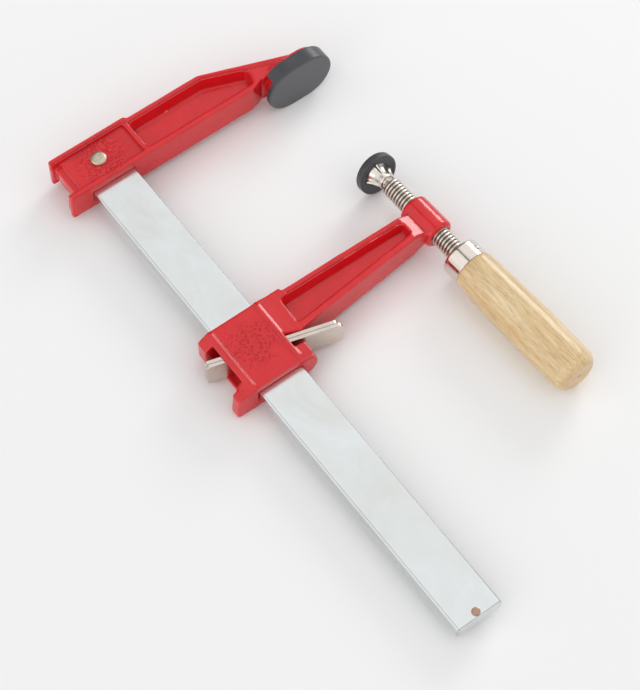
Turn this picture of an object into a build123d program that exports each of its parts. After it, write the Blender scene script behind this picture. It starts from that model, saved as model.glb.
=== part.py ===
"""Deep-throat quick-action bar clamp, lying on its side.

Origin: centre of the fixed jaw's pad face. +X is the clamping direction, along the bar
towards its free end. +Y runs along the arms, away from the bar. +Z is up, across the
castings. All lengths are in millimetres.
"""
from build123d import *
from math import cos, pi, radians, sin, sqrt, tan
import os

os.makedirs("parts", exist_ok=True)

# Bar
bar_width = 35.0
bar_thickness = 9.5
bar_corner = 0.7
throat = 138.5
bar_held_end = -38.5
bar_free_end = 402.0

bar_near_edge = -throat
bar_far_edge = -throat - bar_width
bar_middle = -throat - bar_width / 2
bar_top = bar_thickness / 2

# Stop pin across the bar's free end
stop_pin_diameter = 6.0
stop_pin_inset = 4.0
stop_pin_proud = 1.1
stop_pin_round = 0.5
stop_pin_x = bar_free_end - stop_pin_inset

# Fixed jaw casting
jaw_back = -45.0
jaw_front = -9.0
jaw_half_height = 12.5
jaw_web_half = 3.0
jaw_flange = 4.0
jaw_foot_front_past_bar = 18.0
jaw_foot_back_past_bar = 14.0
jaw_head_past_bar = 11.0
jaw_head_floor = 8.0
jaw_head_step = 6.0
jaw_head_step_past_bar = 6.5
jaw_shoulder_before_bar = 14.5
jaw_arm_back = -42.6
jaw_bend_y = -61.0
jaw_tip_back_x = -17.8
jaw_tip_back_y = 4.1
jaw_pocket_end_y = -28.0
jaw_pocket_taper = 16.0
jaw_pocket_end_round = 5.0
jaw_pocket_root_round = 2.0
jaw_rib = 3.0
jaw_edge = 1.2
jaw_slot_fit = 0.1
jaw_neck_start_y = -40.0
jaw_neck_depth = 4.2
jaw_neck_end_y = -25.0

jaw_foot_front = bar_far_edge - jaw_foot_front_past_bar
jaw_foot_back = bar_far_edge - jaw_foot_back_past_bar
jaw_head_end = bar_far_edge - jaw_head_past_bar
jaw_head_step_y = bar_far_edge - jaw_head_step_past_bar
jaw_head_shoulder = bar_near_edge + jaw_shoulder_before_bar

# Rivet that holds the bar in the fixed jaw
rivet_x = -28.0
rivet_y = bar_middle
rivet_shank = 8.0
rivet_head_diameter = 11.4
rivet_head_height = 1.9
rivet_head_round = 0.8

# Pad cap on the fixed jaw
pad_length = 55.0
pad_height = 41.0
pad_depth = 12.0
pad_wall = 3.0
pad_face_thickness = 3.5
pad_lip = 1.3
pad_lip_depth = 2.2
pad_fit = 0.1
pad_face_round = 1.4
pad_back_round = 0.8
pad_notch_half = 14.0
pad_notch_floor = 0.8
jaw_plate_back = 4.0

# Sliding jaw casting: the head around the bar
head_back = 134.6
head_front_past_arm = 20.2
head_half_height = 13.8
head_deck = 3.0
head_panel_drop = 0.8
head_left_ridge_past_bar = 3.1
head_right_ridge_before_bar = 0.1
head_ridge_width = 2.0
head_side_past_bar = 12.3
head_side_top = 8.5
head_deck_past_bar = 6.5
head_rear_frame = 9.6
head_front_frame = 10.3
head_shoulder_before_bar = 10.0
head_shoulder_top = 12.2
slide_fit_y = 0.35
slide_fit_z = 0.35
foot_past_bar = 18.0
foot_top = 8.0
foot_bottom = -12.5
foot_length = 8.0
lug_radius = 9.4
lug_before_bar = 3.6
lug_centre_z = -0.8

# Sliding jaw casting: the arm
arm_back_root = 137.0
arm_back_tip = 138.0
arm_front_root = 168.3
arm_front_tip = 157.8
arm_root_before_bar = 20.5
arm_tip_y = -16.0
arm_half_height = 12.2
arm_tip_half_height = 11.4
arm_end_half_height = 7.2
arm_end_y = -9.5
arm_web_half = 3.0
arm_flange = 4.2
arm_pocket_before_bar = 16.0
arm_pocket_tip_y = -17.5
arm_pocket_taper = 14.0
arm_pocket_round = 2.2

head_front = arm_front_root + head_front_past_arm
head_left_ridge = bar_far_edge - head_left_ridge_past_bar
head_right_ridge = bar_near_edge + head_right_ridge_before_bar
head_side = bar_far_edge - head_side_past_bar
head_deck_edge = bar_far_edge - head_deck_past_bar
head_shoulder = bar_near_edge + head_shoulder_before_bar
foot_side = bar_far_edge - foot_past_bar
lug_centre_y = bar_near_edge + lug_before_bar
arm_root_y = bar_near_edge + arm_root_before_bar
arm_pocket_root_y = bar_near_edge + arm_pocket_before_bar

# Clutch plates
clutch_lean = 16.4
clutch_plate = 3.0
clutch_height = 21.0
clutch_bar_fit = 0.08
clutch_bar_gap = 0.35
clutch_left_reach = 37.7
clutch_lever_reach = 60.0
clutch_rear_lag = 1.5
clutch_left_corner = 2.2
clutch_lever_corner = 4.0
fulcrum_before_bar = 14.0
fulcrum_gap = 0.15
clutch_face_past_arm = 7.6

fulcrum_y = bar_near_edge + fulcrum_before_bar
clutch_front_face_x = arm_front_root + clutch_face_past_arm

# Clutch spring, in a pocket of the front frame above the bar
spring_outer = 4.4
spring_wire = 0.8
spring_turns = 7
spring_past_middle = 7.0
spring_pocket_fit = 0.3
spring_pocket_depth = 6.0
spring_seat_gap = 0.25

spring_y = bar_middle - spring_past_middle

# Spindle
spindle_lean = 2.66
boss_x = 147.4
boss_y = -0.15
boss_radius = 11.2
boss_front_s = -15.8
boss_rear_s = 14.2
boss_round = 2.2
thread_major = 14.5
thread_minor = 12.1
thread_pitch = 2.7
thread_crest = 0.8
thread_root_width = 2.1
thread_fit = 0.1
thread_start = -39.6
ball_s = -44.4
ball_radius = 5.2
ball_neck_radius = 3.4
ball_shank_radius = 3.0
ball_shank_depth = 12.0
ball_shank_fit = 0.05
tang_radius = 5.0
tang_length = 70.0

# Ferrule and handle, along the spindle from the boss centre
ferrule_start = 33.6
ferrule_length = 15.2
ferrule_radius = 14.7
ferrule_wall = 1.5
ferrule_shoulder = 2.6
dimple_radius = 1.3
dimple_angle = 70.0
dimple_s_back = 6.0
handle_start_radius = 15.3
handle_full_radius = 17.0
handle_full_s = 112.0
handle_end_s = 157.8
handle_end_radius = 16.6
handle_shoulder = 4.5
handle_nose_round = 1.2
handle_hole_radius = 1.5
handle_hole_depth = 5.0
handle_fit = 0.05

# Swivel pad
pad_tilt = 12.6
swivel_face_distance = 13.4
swivel_radius = 16.0
swivel_rim_depth = 6.0
swivel_face = 2.6
swivel_face_round = 1.2
swivel_lip = 1.4
swivel_fit = 0.1
shell_disc_thickness = 1.8
shell_hub_radius = 6.8
shell_hub_mouth = 4.6
shell_flute_count = 4
shell_flute_height = 1.6
socket_fit = 0.1


def finish_piece(solid, name):
    """Label a finished piece and write its STEP file."""
    solid.label = name
    export_step(solid, f"parts/{name}.step")
    print(f"{name:20s} solids {len(solid.solids())}  volume {solid.volume:10.1f}")


def spindle_point(s, across=0.0, up=0.0):
    """Point at distance s along the spindle from the boss centre."""
    lean = radians(spindle_lean)
    return Vector(
        boss_x + s * cos(lean) - across * sin(lean),
        boss_y + s * sin(lean) + across * cos(lean),
        up,
    )


spindle_direction = spindle_point(1.0) - spindle_point(0.0)
spindle_axis = Axis(spindle_point(0.0), spindle_direction)
spindle_plane = Plane(origin=spindle_point(0.0), x_dir=spindle_direction, z_dir=(0, 0, 1))


def spindle_section(s):
    """Plane across the spindle at distance s, its local z along the spindle."""
    return Plane(origin=spindle_point(s), x_dir=(0, 0, 1), z_dir=spindle_direction)


# Bar, with a hole for the rivet and one for the stop pin
with BuildPart() as bar:
    with BuildSketch(Plane.YZ.offset(bar_held_end)):
        with Locations((bar_middle, 0)):
            Rectangle(bar_width, bar_thickness)
    extrude(amount=bar_free_end - bar_held_end)
    long_edges = bar.edges().filter_by(Axis.X)
    chamfer(long_edges, bar_corner)
    with Locations((rivet_x, rivet_y, bar_top)):
        Hole(rivet_shank / 2)
    with Locations((stop_pin_x, bar_middle, bar_top)):
        Hole(stop_pin_diameter / 2)
finish_piece(bar.part, "bar")

# Stop pin, a short pin pressed through the bar and standing proud of both faces
with BuildPart() as bar_stop_pin:
    with Locations((stop_pin_x, bar_middle, 0)):
        Cylinder(stop_pin_diameter / 2, bar_thickness + 2 * stop_pin_proud)
    fillet(bar_stop_pin.edges().filter_by(GeomType.CIRCLE), stop_pin_round)
finish_piece(bar_stop_pin.part, "bar_stop_pin")

# Rivet with two low heads, through both walls of the fixed jaw's head and the bar
with BuildPart() as fixed_jaw_rivet:
    with BuildSketch(Plane(origin=(rivet_x, rivet_y, 0), x_dir=(1, 0, 0), z_dir=(0, -1, 0))):
        with BuildLine():
            head_r = rivet_head_diameter / 2
            head_z = jaw_head_floor + rivet_head_height
            FilletPolyline(
                (0, head_z),
                (head_r, head_z),
                (head_r, jaw_head_floor),
                radius=rivet_head_round,
            )
            Polyline(
                (head_r, jaw_head_floor),
                (rivet_shank / 2, jaw_head_floor),
                (rivet_shank / 2, 0),
                (0, 0),
                (0, head_z),
            )
        make_face()
    revolve(axis=Axis((rivet_x, rivet_y, 0), (0, 0, 1)))
    mirror(about=Plane.XY)
finish_piece(fixed_jaw_rivet.part, "fixed_jaw_rivet")

# Fixed jaw casting
cavity_length = pad_length - 2 * pad_wall
cavity_height = pad_height - 2 * pad_wall
plate_front = -pad_face_thickness
plate_step = -pad_depth + pad_lip_depth + pad_fit
slope_run = (jaw_tip_back_x - jaw_arm_back) / (jaw_tip_back_y - jaw_bend_y)
tip_join_x = -pad_depth - jaw_plate_back / 2
tip_join_y = jaw_tip_back_y + (tip_join_x - jaw_tip_back_x) / slope_run


def jaw_pocket_outline(inset):
    """Corners of the arm's recess, inset from the casting's outline."""
    return [
        (jaw_arm_back + inset, jaw_head_shoulder),
        (jaw_arm_back + inset, jaw_bend_y),
        (jaw_arm_back + inset + slope_run * (jaw_pocket_end_y - jaw_bend_y), jaw_pocket_end_y),
        (jaw_front - inset, jaw_pocket_end_y - 4.0),
        (jaw_front - inset, jaw_head_shoulder),
    ]


# Recesses in one side of the fixed jaw: the head's, the step at its end and the arm's
with BuildPart() as jaw_recess:
    with BuildSketch(Plane.XY.offset(jaw_head_floor)):
        with BuildLine():
            Polyline(
                (jaw_back + jaw_flange, jaw_foot_front - 2),
                (jaw_back + jaw_flange, jaw_head_shoulder - jaw_rib),
                (jaw_front - jaw_flange, jaw_head_shoulder - jaw_rib),
                (jaw_front - jaw_flange, jaw_foot_front - 2),
                close=True,
            )
        make_face()
    extrude(amount=jaw_half_height)
    with BuildSketch(Plane.XY.offset(jaw_head_step)):
        with BuildLine():
            Polyline(
                (jaw_back + jaw_flange, jaw_foot_front - 2),
                (jaw_back + jaw_flange, jaw_head_step_y),
                (jaw_front - jaw_flange, jaw_head_step_y),
                (jaw_front - jaw_flange, jaw_foot_front - 2),
                close=True,
            )
        make_face()
    extrude(amount=jaw_half_height)
    with BuildSketch(Plane.XY.offset(jaw_half_height)) as arm_outline:
        with BuildLine():
            Polyline(*jaw_pocket_outline(jaw_flange), close=True)
        make_face()
        fillet(arm_outline.vertices().group_by(Axis.Y)[-1], jaw_pocket_end_round)
        fillet(arm_outline.vertices().group_by(Axis.Y)[0], jaw_pocket_root_round)
    extrude(amount=-(jaw_half_height - jaw_web_half), taper=jaw_pocket_taper)

with BuildPart() as fixed_jaw:
    with BuildSketch(Plane.XY.offset(-jaw_half_height)):
        with BuildLine():
            Polyline(
                (jaw_back, jaw_foot_back),
                (jaw_back, jaw_head_shoulder),
                (jaw_arm_back, jaw_head_shoulder + 2.5),
                (jaw_arm_back, jaw_bend_y),
                (tip_join_x, tip_join_y),
                (-pad_depth, tip_join_y),
                (-pad_depth, jaw_neck_end_y),
                (jaw_front - jaw_neck_depth, jaw_neck_end_y),
            )
            Spline(
                (jaw_front - jaw_neck_depth, jaw_neck_end_y),
                (jaw_front, jaw_neck_start_y),
                tangents=((0.5, -1), (0, -1)),
            )
            Polyline(
                (jaw_front, jaw_neck_start_y),
                (jaw_front, jaw_foot_front),
                (jaw_front - jaw_flange - 1.0, jaw_foot_front),
                (jaw_front - jaw_flange - 1.0, jaw_head_end),
                (jaw_back + jaw_flange + 1.0, jaw_head_end),
                (jaw_back + jaw_flange + 1.0, jaw_foot_back),
                (jaw_back, jaw_foot_back),
            )
        make_face()
    extrude(amount=2 * jaw_half_height)
    outer_corners = [
        edge
        for edge in fixed_jaw.edges().filter_by(Axis.Z)
        if edge.center().X > jaw_front - 0.1 or edge.center().X < jaw_arm_back + 0.1
    ]
    fillet(outer_corners, jaw_edge)
    # Recesses on both sides
    add(jaw_recess.part, mode=Mode.SUBTRACT)
    add(mirror(jaw_recess.part, about=Plane.XY), mode=Mode.SUBTRACT)
    # Face plate inside the pad cap, with a neck that the cap's lip grips
    with BuildSketch(Plane.YZ.offset(plate_front)):
        SlotOverall(cavity_length - 2 * pad_fit, cavity_height - 2 * pad_fit)
    extrude(amount=plate_step - plate_front)
    with BuildSketch(Plane.YZ.offset(plate_step)):
        SlotOverall(
            cavity_length - 2 * pad_lip - 2 * pad_fit,
            cavity_height - 2 * pad_lip - 2 * pad_fit,
        )
    extrude(amount=-pad_depth - jaw_plate_back - plate_step)
    # Slot that holds the bar, open at the front only
    with BuildSketch(Plane.YZ.offset(bar_held_end - jaw_slot_fit)):
        with Locations((bar_middle, 0)):
            Rectangle(bar_width + 2 * jaw_slot_fit, bar_thickness + 2 * jaw_slot_fit)
    extrude(amount=jaw_front - bar_held_end + 5, mode=Mode.SUBTRACT)
    with Locations((rivet_x, rivet_y, jaw_head_floor)):
        Hole(rivet_shank / 2)
finish_piece(fixed_jaw.part, "fixed_jaw")

# Pad cap, pushed over the face plate
with BuildPart() as fixed_jaw_pad:
    with BuildSketch(Plane.YZ.offset(-pad_depth)):
        SlotOverall(pad_length, pad_height)
    extrude(amount=pad_depth)
    fillet(fixed_jaw_pad.faces().sort_by(Axis.X)[-1].edges(), pad_face_round)
    fillet(fixed_jaw_pad.faces().sort_by(Axis.X)[0].edges(), pad_back_round)
    with BuildSketch(Plane.YZ.offset(plate_front)):
        SlotOverall(cavity_length, cavity_height)
    extrude(amount=-(pad_depth - pad_face_thickness - pad_lip_depth), mode=Mode.SUBTRACT)
    with BuildSketch(Plane.YZ.offset(-pad_depth)):
        SlotOverall(cavity_length - 2 * pad_lip, cavity_height - 2 * pad_lip)
    extrude(amount=pad_lip_depth + 0.5, mode=Mode.SUBTRACT)
    # Notch in the end wall towards the arm, where the cap slides over the plate
    notch_front = plate_front - pad_notch_floor
    with BuildSketch(Plane.YZ.offset(notch_front)):
        with Locations((-pad_length / 2, 0)):
            Rectangle(pad_height / 2, 2 * pad_notch_half)
    extrude(amount=-pad_depth, mode=Mode.SUBTRACT)
finish_piece(fixed_jaw_pad.part, "fixed_jaw_pad")

# Sliding jaw casting
lean = radians(clutch_lean)
clutch_stack = 2 * clutch_plate
clutch_rear_face_x = clutch_front_face_x - clutch_stack / cos(lean)
cavity_rear = head_back + head_rear_frame
cavity_front = head_front - head_front_frame
deck_inner = head_half_height - head_deck
cavity_wall_y = head_right_ridge + head_ridge_width / 2


def clutch_rear_x(y):
    """Where the stack's rear face crosses the line y, in plan."""
    return clutch_rear_face_x + (y - fulcrum_y) * tan(lean)


# Arm of the sliding jaw: its outline from above, cut to its outline from the side
with BuildPart() as slider_arm:
    with BuildSketch(Plane.XY.offset(-arm_half_height)):
        with BuildLine():
            Polyline(
                (head_back, arm_root_y - 4),
                (arm_back_root, arm_root_y),
                (arm_back_tip, arm_tip_y),
                (arm_back_tip, boss_y),
                (arm_front_tip, boss_y),
                (arm_front_tip, arm_tip_y),
                (arm_front_root, arm_root_y),
                (arm_front_root, arm_root_y - 4),
                close=True,
            )
        make_face()
    extrude(amount=2 * arm_half_height)
    with BuildSketch(Plane.YZ.offset(head_back)):
        with BuildLine():
            Polyline(
                (arm_root_y - 5, arm_half_height),
                (arm_pocket_tip_y - 2, arm_tip_half_height),
                (arm_end_y, arm_end_half_height),
                (boss_y + 1, arm_end_half_height),
                (boss_y + 1, -arm_end_half_height),
                (arm_end_y, -arm_end_half_height),
                (arm_pocket_tip_y - 2, -arm_tip_half_height),
                (arm_root_y - 5, -arm_half_height),
                close=True,
            )
        make_face()
    extrude(amount=head_front - head_back, mode=Mode.INTERSECT)

# Recess in one side of the arm
with BuildPart() as arm_recess:
    with BuildSketch(Plane.XY.offset(arm_half_height)) as arm_pocket:
        with BuildLine():
            Polyline(
                (arm_back_root + arm_flange, arm_pocket_root_y),
                (arm_back_tip + arm_flange, arm_pocket_tip_y),
                (arm_front_tip - arm_flange, arm_pocket_tip_y),
                (arm_front_root - arm_flange, arm_pocket_root_y - 1.5),
                close=True,
            )
        make_face()
        fillet(arm_pocket.vertices(), arm_pocket_round)
    extrude(amount=-(arm_half_height - arm_web_half), taper=arm_pocket_taper)

with BuildPart() as sliding_jaw:
    # Head: the ring around the bar
    with BuildSketch(Plane.YZ.offset(head_back)):
        with BuildLine():
            Polyline(
                (head_left_ridge - 0.6, head_half_height),
                (head_side, head_side_top),
                (head_side, -head_side_top),
                (head_left_ridge - 0.6, -head_half_height),
                (head_right_ridge + 1.2, -head_half_height),
                (head_shoulder, -head_shoulder_top),
                (arm_root_y, -head_shoulder_top),
                (arm_root_y, head_shoulder_top),
                (head_shoulder, head_shoulder_top),
                (head_right_ridge + 1.2, head_half_height),
                close=True,
            )
        make_face()
    extrude(amount=head_front - head_back)
    # The front frame ends beside the bar, so the shoulder there is cut away
    with BuildSketch(Plane.XY.offset(-head_half_height - 1)):
        with BuildLine():
            Polyline(
                (clutch_rear_x(cavity_wall_y) - 0.9, cavity_wall_y),
                (clutch_rear_face_x - 0.7, fulcrum_y - 1.5),
                (clutch_rear_face_x - fulcrum_gap / cos(lean), fulcrum_y),
                (arm_front_root + 0.2, fulcrum_y + 1.5),
                (arm_front_root, arm_root_y + 1),
                (head_front + 1, arm_root_y + 1),
                (head_front + 1, head_shoulder),
                (cavity_front, head_shoulder),
                (cavity_front, cavity_wall_y),
                close=True,
            )
        make_face()
    extrude(amount=2 * head_half_height + 2, mode=Mode.SUBTRACT)
    # Cavity for the clutch plates, open at the left side
    with BuildSketch(Plane.XY.offset(-deck_inner)):
        with BuildLine():
            Polyline(
                (cavity_rear, head_side - 2),
                (cavity_rear, cavity_wall_y),
                (cavity_front, cavity_wall_y),
                (cavity_front, head_side - 2),
                close=True,
            )
        make_face()
    extrude(amount=2 * deck_inner, mode=Mode.SUBTRACT)
    # The decks stop short of the frames' side
    for side in (1, -1):
        with BuildSketch(Plane.XY.offset(side * (deck_inner - 4))):
            with BuildLine():
                Polyline(
                    (cavity_rear, head_side - 2),
                    (cavity_rear, head_deck_edge),
                    (cavity_front, head_deck_edge),
                    (cavity_front, head_side - 2),
                    close=True,
                )
            make_face()
        extrude(amount=side * 12, mode=Mode.SUBTRACT)
    # Sunk panel between the two ridges, top and bottom
    for side in (1, -1):
        with BuildSketch(Plane.XY.offset(side * head_half_height)):
            with Locations(((head_back + head_front) / 2, (head_left_ridge + head_right_ridge) / 2)):
                Rectangle(
                    head_front - head_back + 2,
                    head_right_ridge - head_left_ridge - head_ridge_width,
                )
        extrude(amount=-side * head_panel_drop, mode=Mode.SUBTRACT)
    # Left foot and right lug of the front frame
    with BuildSketch(Plane.YZ.offset(head_front - foot_length)) as foot:
        with BuildLine():
            Polyline(
                (head_side + 3, foot_top + 2.5),
                (foot_side + 1.6, foot_top),
                (foot_side, foot_bottom),
                (bar_far_edge - 1, foot_bottom - 0.8),
                (bar_far_edge - 1, foot_top),
                close=True,
            )
        make_face()
        fillet(foot.vertices().group_by(Axis.X)[0], 1.5)
    extrude(amount=foot_length)
    with BuildSketch(Plane.YZ.offset(cavity_front)):
        with Locations((lug_centre_y, lug_centre_z)):
            Circle(lug_radius)
    extrude(amount=head_front_frame + 1.2)
    # Arm
    add(slider_arm.part)
    # Boss for the spindle
    with BuildSketch(spindle_section(boss_front_s)):
        Circle(boss_radius)
    extrude(amount=boss_rear_s - boss_front_s)
    boss_rims = [
        edge
        for edge in sliding_jaw.edges().filter_by(GeomType.CIRCLE)
        if abs(edge.radius - boss_radius) < 0.01
    ]
    fillet(boss_rims, boss_round)
    # Recesses of the arm, on both sides
    add(arm_recess.part, mode=Mode.SUBTRACT)
    add(mirror(arm_recess.part, about=Plane.XY), mode=Mode.SUBTRACT)
    # Slot for the bar, straight through the head
    with BuildSketch(Plane.YZ.offset(head_back - 1)):
        with Locations((bar_middle, 0)):
            Rectangle(bar_width + 2 * slide_fit_y, bar_thickness + 2 * slide_fit_z)
    extrude(amount=head_front - head_back + 4, mode=Mode.SUBTRACT)
    # Bore for the spindle
    with BuildSketch(spindle_section(boss_front_s - 1)):
        Circle(thread_major / 2 + thread_fit)
    extrude(amount=boss_rear_s - boss_front_s + 2, mode=Mode.SUBTRACT)
    # Pocket for the clutch spring
    spring_z = (bar_top + slide_fit_z + deck_inner) / 2 + 0.1
    with BuildSketch(Plane.YZ.offset(cavity_front)):
        with Locations((spring_y, spring_z)):
            Circle(spring_outer / 2 + spring_pocket_fit)
    extrude(amount=spring_pocket_depth, mode=Mode.SUBTRACT)
finish_piece(sliding_jaw.part, "sliding_jaw")


# Clutch plates: two steel plates, tilted across the bar and jammed on its edges
def clutch_plane(back_distance):
    """Plane on a plate's rear face: local x along the plate, local y up."""
    along = Vector(sin(lean), cos(lean), 0)
    face = Vector(clutch_front_face_x, fulcrum_y, 0) - Vector(cos(lean), -sin(lean), 0) * back_distance
    centre = face + along * ((bar_middle - face.Y) / cos(lean))
    return Plane(origin=centre, x_dir=along, z_dir=along.cross(Vector(0, 0, 1)))


def make_clutch_plate(name, back_distance, left_reach, lever_reach):
    """One clutch plate whose rear face lies back_distance behind the stack's front face."""
    plane = clutch_plane(back_distance)
    hole_length = (bar_width + 2 * clutch_bar_fit + clutch_plate * sin(lean)) / cos(lean)
    hole_shift = -clutch_plate / 2 * tan(lean)
    with BuildPart() as plate:
        with BuildSketch(plane) as outline:
            with Locations(((lever_reach - left_reach) / 2, 0)):
                Rectangle(left_reach + lever_reach, clutch_height)
            fillet(outline.vertices().group_by(Axis.X)[0], clutch_left_corner)
            fillet(
                outline.vertices().filter_by_position(
                    Axis.X, lever_reach - 0.01, lever_reach + 0.01
                ),
                clutch_lever_corner,
            )
            with Locations((-hole_shift, 0)):
                Rectangle(hole_length, bar_thickness + 2 * clutch_bar_gap, mode=Mode.SUBTRACT)
        extrude(amount=clutch_plate)
    finish_piece(plate.part, name)
    return plate.part


clutch_plate_front = make_clutch_plate(
    "clutch_plate_front", clutch_plate, clutch_left_reach, clutch_lever_reach
)
clutch_plate_rear = make_clutch_plate(
    "clutch_plate_rear",
    2 * clutch_plate,
    clutch_left_reach - 0.5,
    clutch_lever_reach - clutch_rear_lag,
)

# Clutch spring: a coil that pushes the plates into their tilt
spring_mean = (spring_outer - spring_wire) / 2
spring_front = cavity_front + spring_pocket_depth - spring_wire / 2
plate_face_at_spring = clutch_front_face_x + (spring_y + spring_mean - fulcrum_y) * tan(lean)
spring_back = plate_face_at_spring + spring_seat_gap + spring_wire / 2
spring_length = spring_front - spring_back
with BuildPart() as clutch_spring:
    with BuildLine() as coil:
        Helix(
            pitch=spring_length / spring_turns,
            height=spring_length,
            radius=spring_mean,
            center=(spring_back, spring_y, spring_z),
            direction=(1, 0, 0),
        )
    with BuildSketch(Plane(origin=coil.line @ 0, z_dir=coil.line % 0)):
        Circle(spring_wire / 2)
    sweep(path=coil.line, is_frenet=True)
finish_piece(clutch_spring.part, "clutch_spring")

# Spindle: a threaded rod with a plain tang inside the handle
thread_end = ferrule_start
with BuildPart() as spindle_screw:
    with BuildSketch(spindle_section(thread_start)):
        Circle(thread_minor / 2)
    extrude(amount=thread_end - thread_start)
    with BuildLine() as helix:
        Helix(
            pitch=thread_pitch,
            height=thread_end - thread_start - thread_root_width - 0.6,
            radius=thread_minor / 2 - 0.1,
            center=spindle_point(thread_start + thread_root_width / 2 + 0.3),
            direction=spindle_direction,
        )
    helix_start = helix.line @ 0
    outward = helix_start - spindle_point(thread_start + thread_root_width / 2 + 0.3)
    with BuildSketch(
        Plane(
            origin=helix_start,
            x_dir=outward,
            z_dir=spindle_direction.cross(outward),
        )
    ):
        with BuildLine():
            crest = (thread_major - thread_minor) / 2 + 0.1
            Polyline(
                (0, -thread_root_width / 2),
                (crest, -thread_crest / 2),
                (crest, thread_crest / 2),
                (0, thread_root_width / 2),
                close=True,
            )
        make_face()
    sweep(path=helix.line, is_frenet=True)
    with BuildSketch(spindle_section(thread_end)):
        Circle(tang_radius)
    extrude(amount=tang_length)
    with BuildSketch(spindle_section(thread_start)):
        Circle(ball_shank_radius + ball_shank_fit)
    extrude(amount=ball_shank_depth, mode=Mode.SUBTRACT)
finish_piece(spindle_screw.part, "spindle_screw")

# Ball end of the spindle, on a shank in the rod's bore
with BuildPart() as spindle_ball:
    with BuildSketch(spindle_plane):
        with BuildLine():
            neck_s = ball_s + sqrt(ball_radius**2 - ball_neck_radius**2)
            Line((ball_s - ball_radius, 0), (thread_start + ball_shank_depth - 0.3, 0))
            RadiusArc((ball_s - ball_radius, 0), (neck_s, ball_neck_radius), ball_radius)
            Polyline(
                (neck_s, ball_neck_radius),
                (thread_start - 0.15, ball_neck_radius),
                (thread_start - 0.15, ball_shank_radius),
                (thread_start + ball_shank_depth - 0.3, ball_shank_radius),
                (thread_start + ball_shank_depth - 0.3, 0),
            )
        make_face()
    revolve(axis=spindle_axis)
finish_piece(spindle_ball.part, "spindle_ball")

# Ferrule: a drawn steel cup around the handle's nose
ferrule_end = ferrule_start + ferrule_length
with BuildPart() as ferrule:
    with BuildSketch(spindle_plane):
        with BuildLine():
            FilletPolyline(
                (ferrule_start, tang_radius + handle_fit),
                (ferrule_start, ferrule_radius),
                (ferrule_end, ferrule_radius),
                radius=ferrule_shoulder,
            )
            Polyline(
                (ferrule_end, ferrule_radius),
                (ferrule_end, ferrule_radius - ferrule_wall),
            )
            FilletPolyline(
                (ferrule_end, ferrule_radius - ferrule_wall),
                (ferrule_start + ferrule_wall, ferrule_radius - ferrule_wall),
                (ferrule_start + ferrule_wall, tang_radius + handle_fit),
                radius=ferrule_shoulder - ferrule_wall,
            )
            Line(
                (ferrule_start + ferrule_wall, tang_radius + handle_fit),
                (ferrule_start, tang_radius + handle_fit),
            )
        make_face()
    revolve(axis=spindle_axis)
    # Punched dimple that locks the ferrule to the wood
    dimple_turn = radians(dimple_angle)
    dimple_out = ferrule_radius + 0.4
    dimple_centre = spindle_point(
        ferrule_end - dimple_s_back, dimple_out * cos(dimple_turn), dimple_out * sin(dimple_turn)
    )
    with Locations(dimple_centre):
        Sphere(dimple_radius, mode=Mode.SUBTRACT)
finish_piece(ferrule.part, "ferrule")

# Handle: turned wood, with a nose inside the ferrule and a bore for the tang
nose_radius = ferrule_radius - ferrule_wall - handle_fit
nose_start = ferrule_start + ferrule_wall + handle_fit
with BuildPart() as handle:
    with BuildSketch(spindle_plane):
        with BuildLine():
            tang_bore = tang_radius + handle_fit
            tang_end = thread_end + tang_length + handle_fit
            Polyline(
                (tang_end, 0),
                (tang_end, tang_bore),
                (nose_start, tang_bore),
                (nose_start, nose_radius - ferrule_shoulder),
                (nose_start + ferrule_shoulder, nose_radius),
                (ferrule_end, nose_radius),
                (ferrule_end, handle_start_radius - handle_nose_round),
                (ferrule_end + handle_nose_round, handle_start_radius),
            )
            Spline(
                (ferrule_end + handle_nose_round, handle_start_radius),
                (handle_full_s, handle_full_radius),
                (handle_end_s - handle_shoulder, handle_end_radius),
                tangents=((1, 0), (1, -0.06)),
            )
            RadiusArc(
                (handle_end_s - handle_shoulder, handle_end_radius),
                (handle_end_s, handle_end_radius - handle_shoulder),
                handle_shoulder,
            )
            Polyline(
                (handle_end_s, handle_end_radius - handle_shoulder),
                (handle_end_s, handle_hole_radius),
                (handle_end_s - handle_hole_depth, handle_hole_radius),
                (handle_end_s - handle_hole_depth, 0),
                (tang_end, 0),
            )
        make_face()
    revolve(axis=spindle_axis)
finish_piece(handle.part, "handle")

# Swivel pad: hangs on the ball, tilted by its own weight
tilt = radians(pad_tilt)
ball_centre = spindle_point(ball_s)
pad_back_direction = Vector(
    spindle_direction.X * cos(tilt), spindle_direction.Y * cos(tilt), sin(tilt)
)
pad_side = Vector(-spindle_direction.Y, spindle_direction.X, 0)
pad_axis = Axis(ball_centre, pad_back_direction)
pad_plane = Plane(origin=ball_centre, x_dir=pad_back_direction, z_dir=pad_back_direction.cross(pad_side))
face_p = -swivel_face_distance
disc_front = face_p + swivel_face
disc_back = disc_front + shell_disc_thickness
rim_back = face_p + swivel_rim_depth
disc_radius = swivel_radius - 2.4

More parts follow.
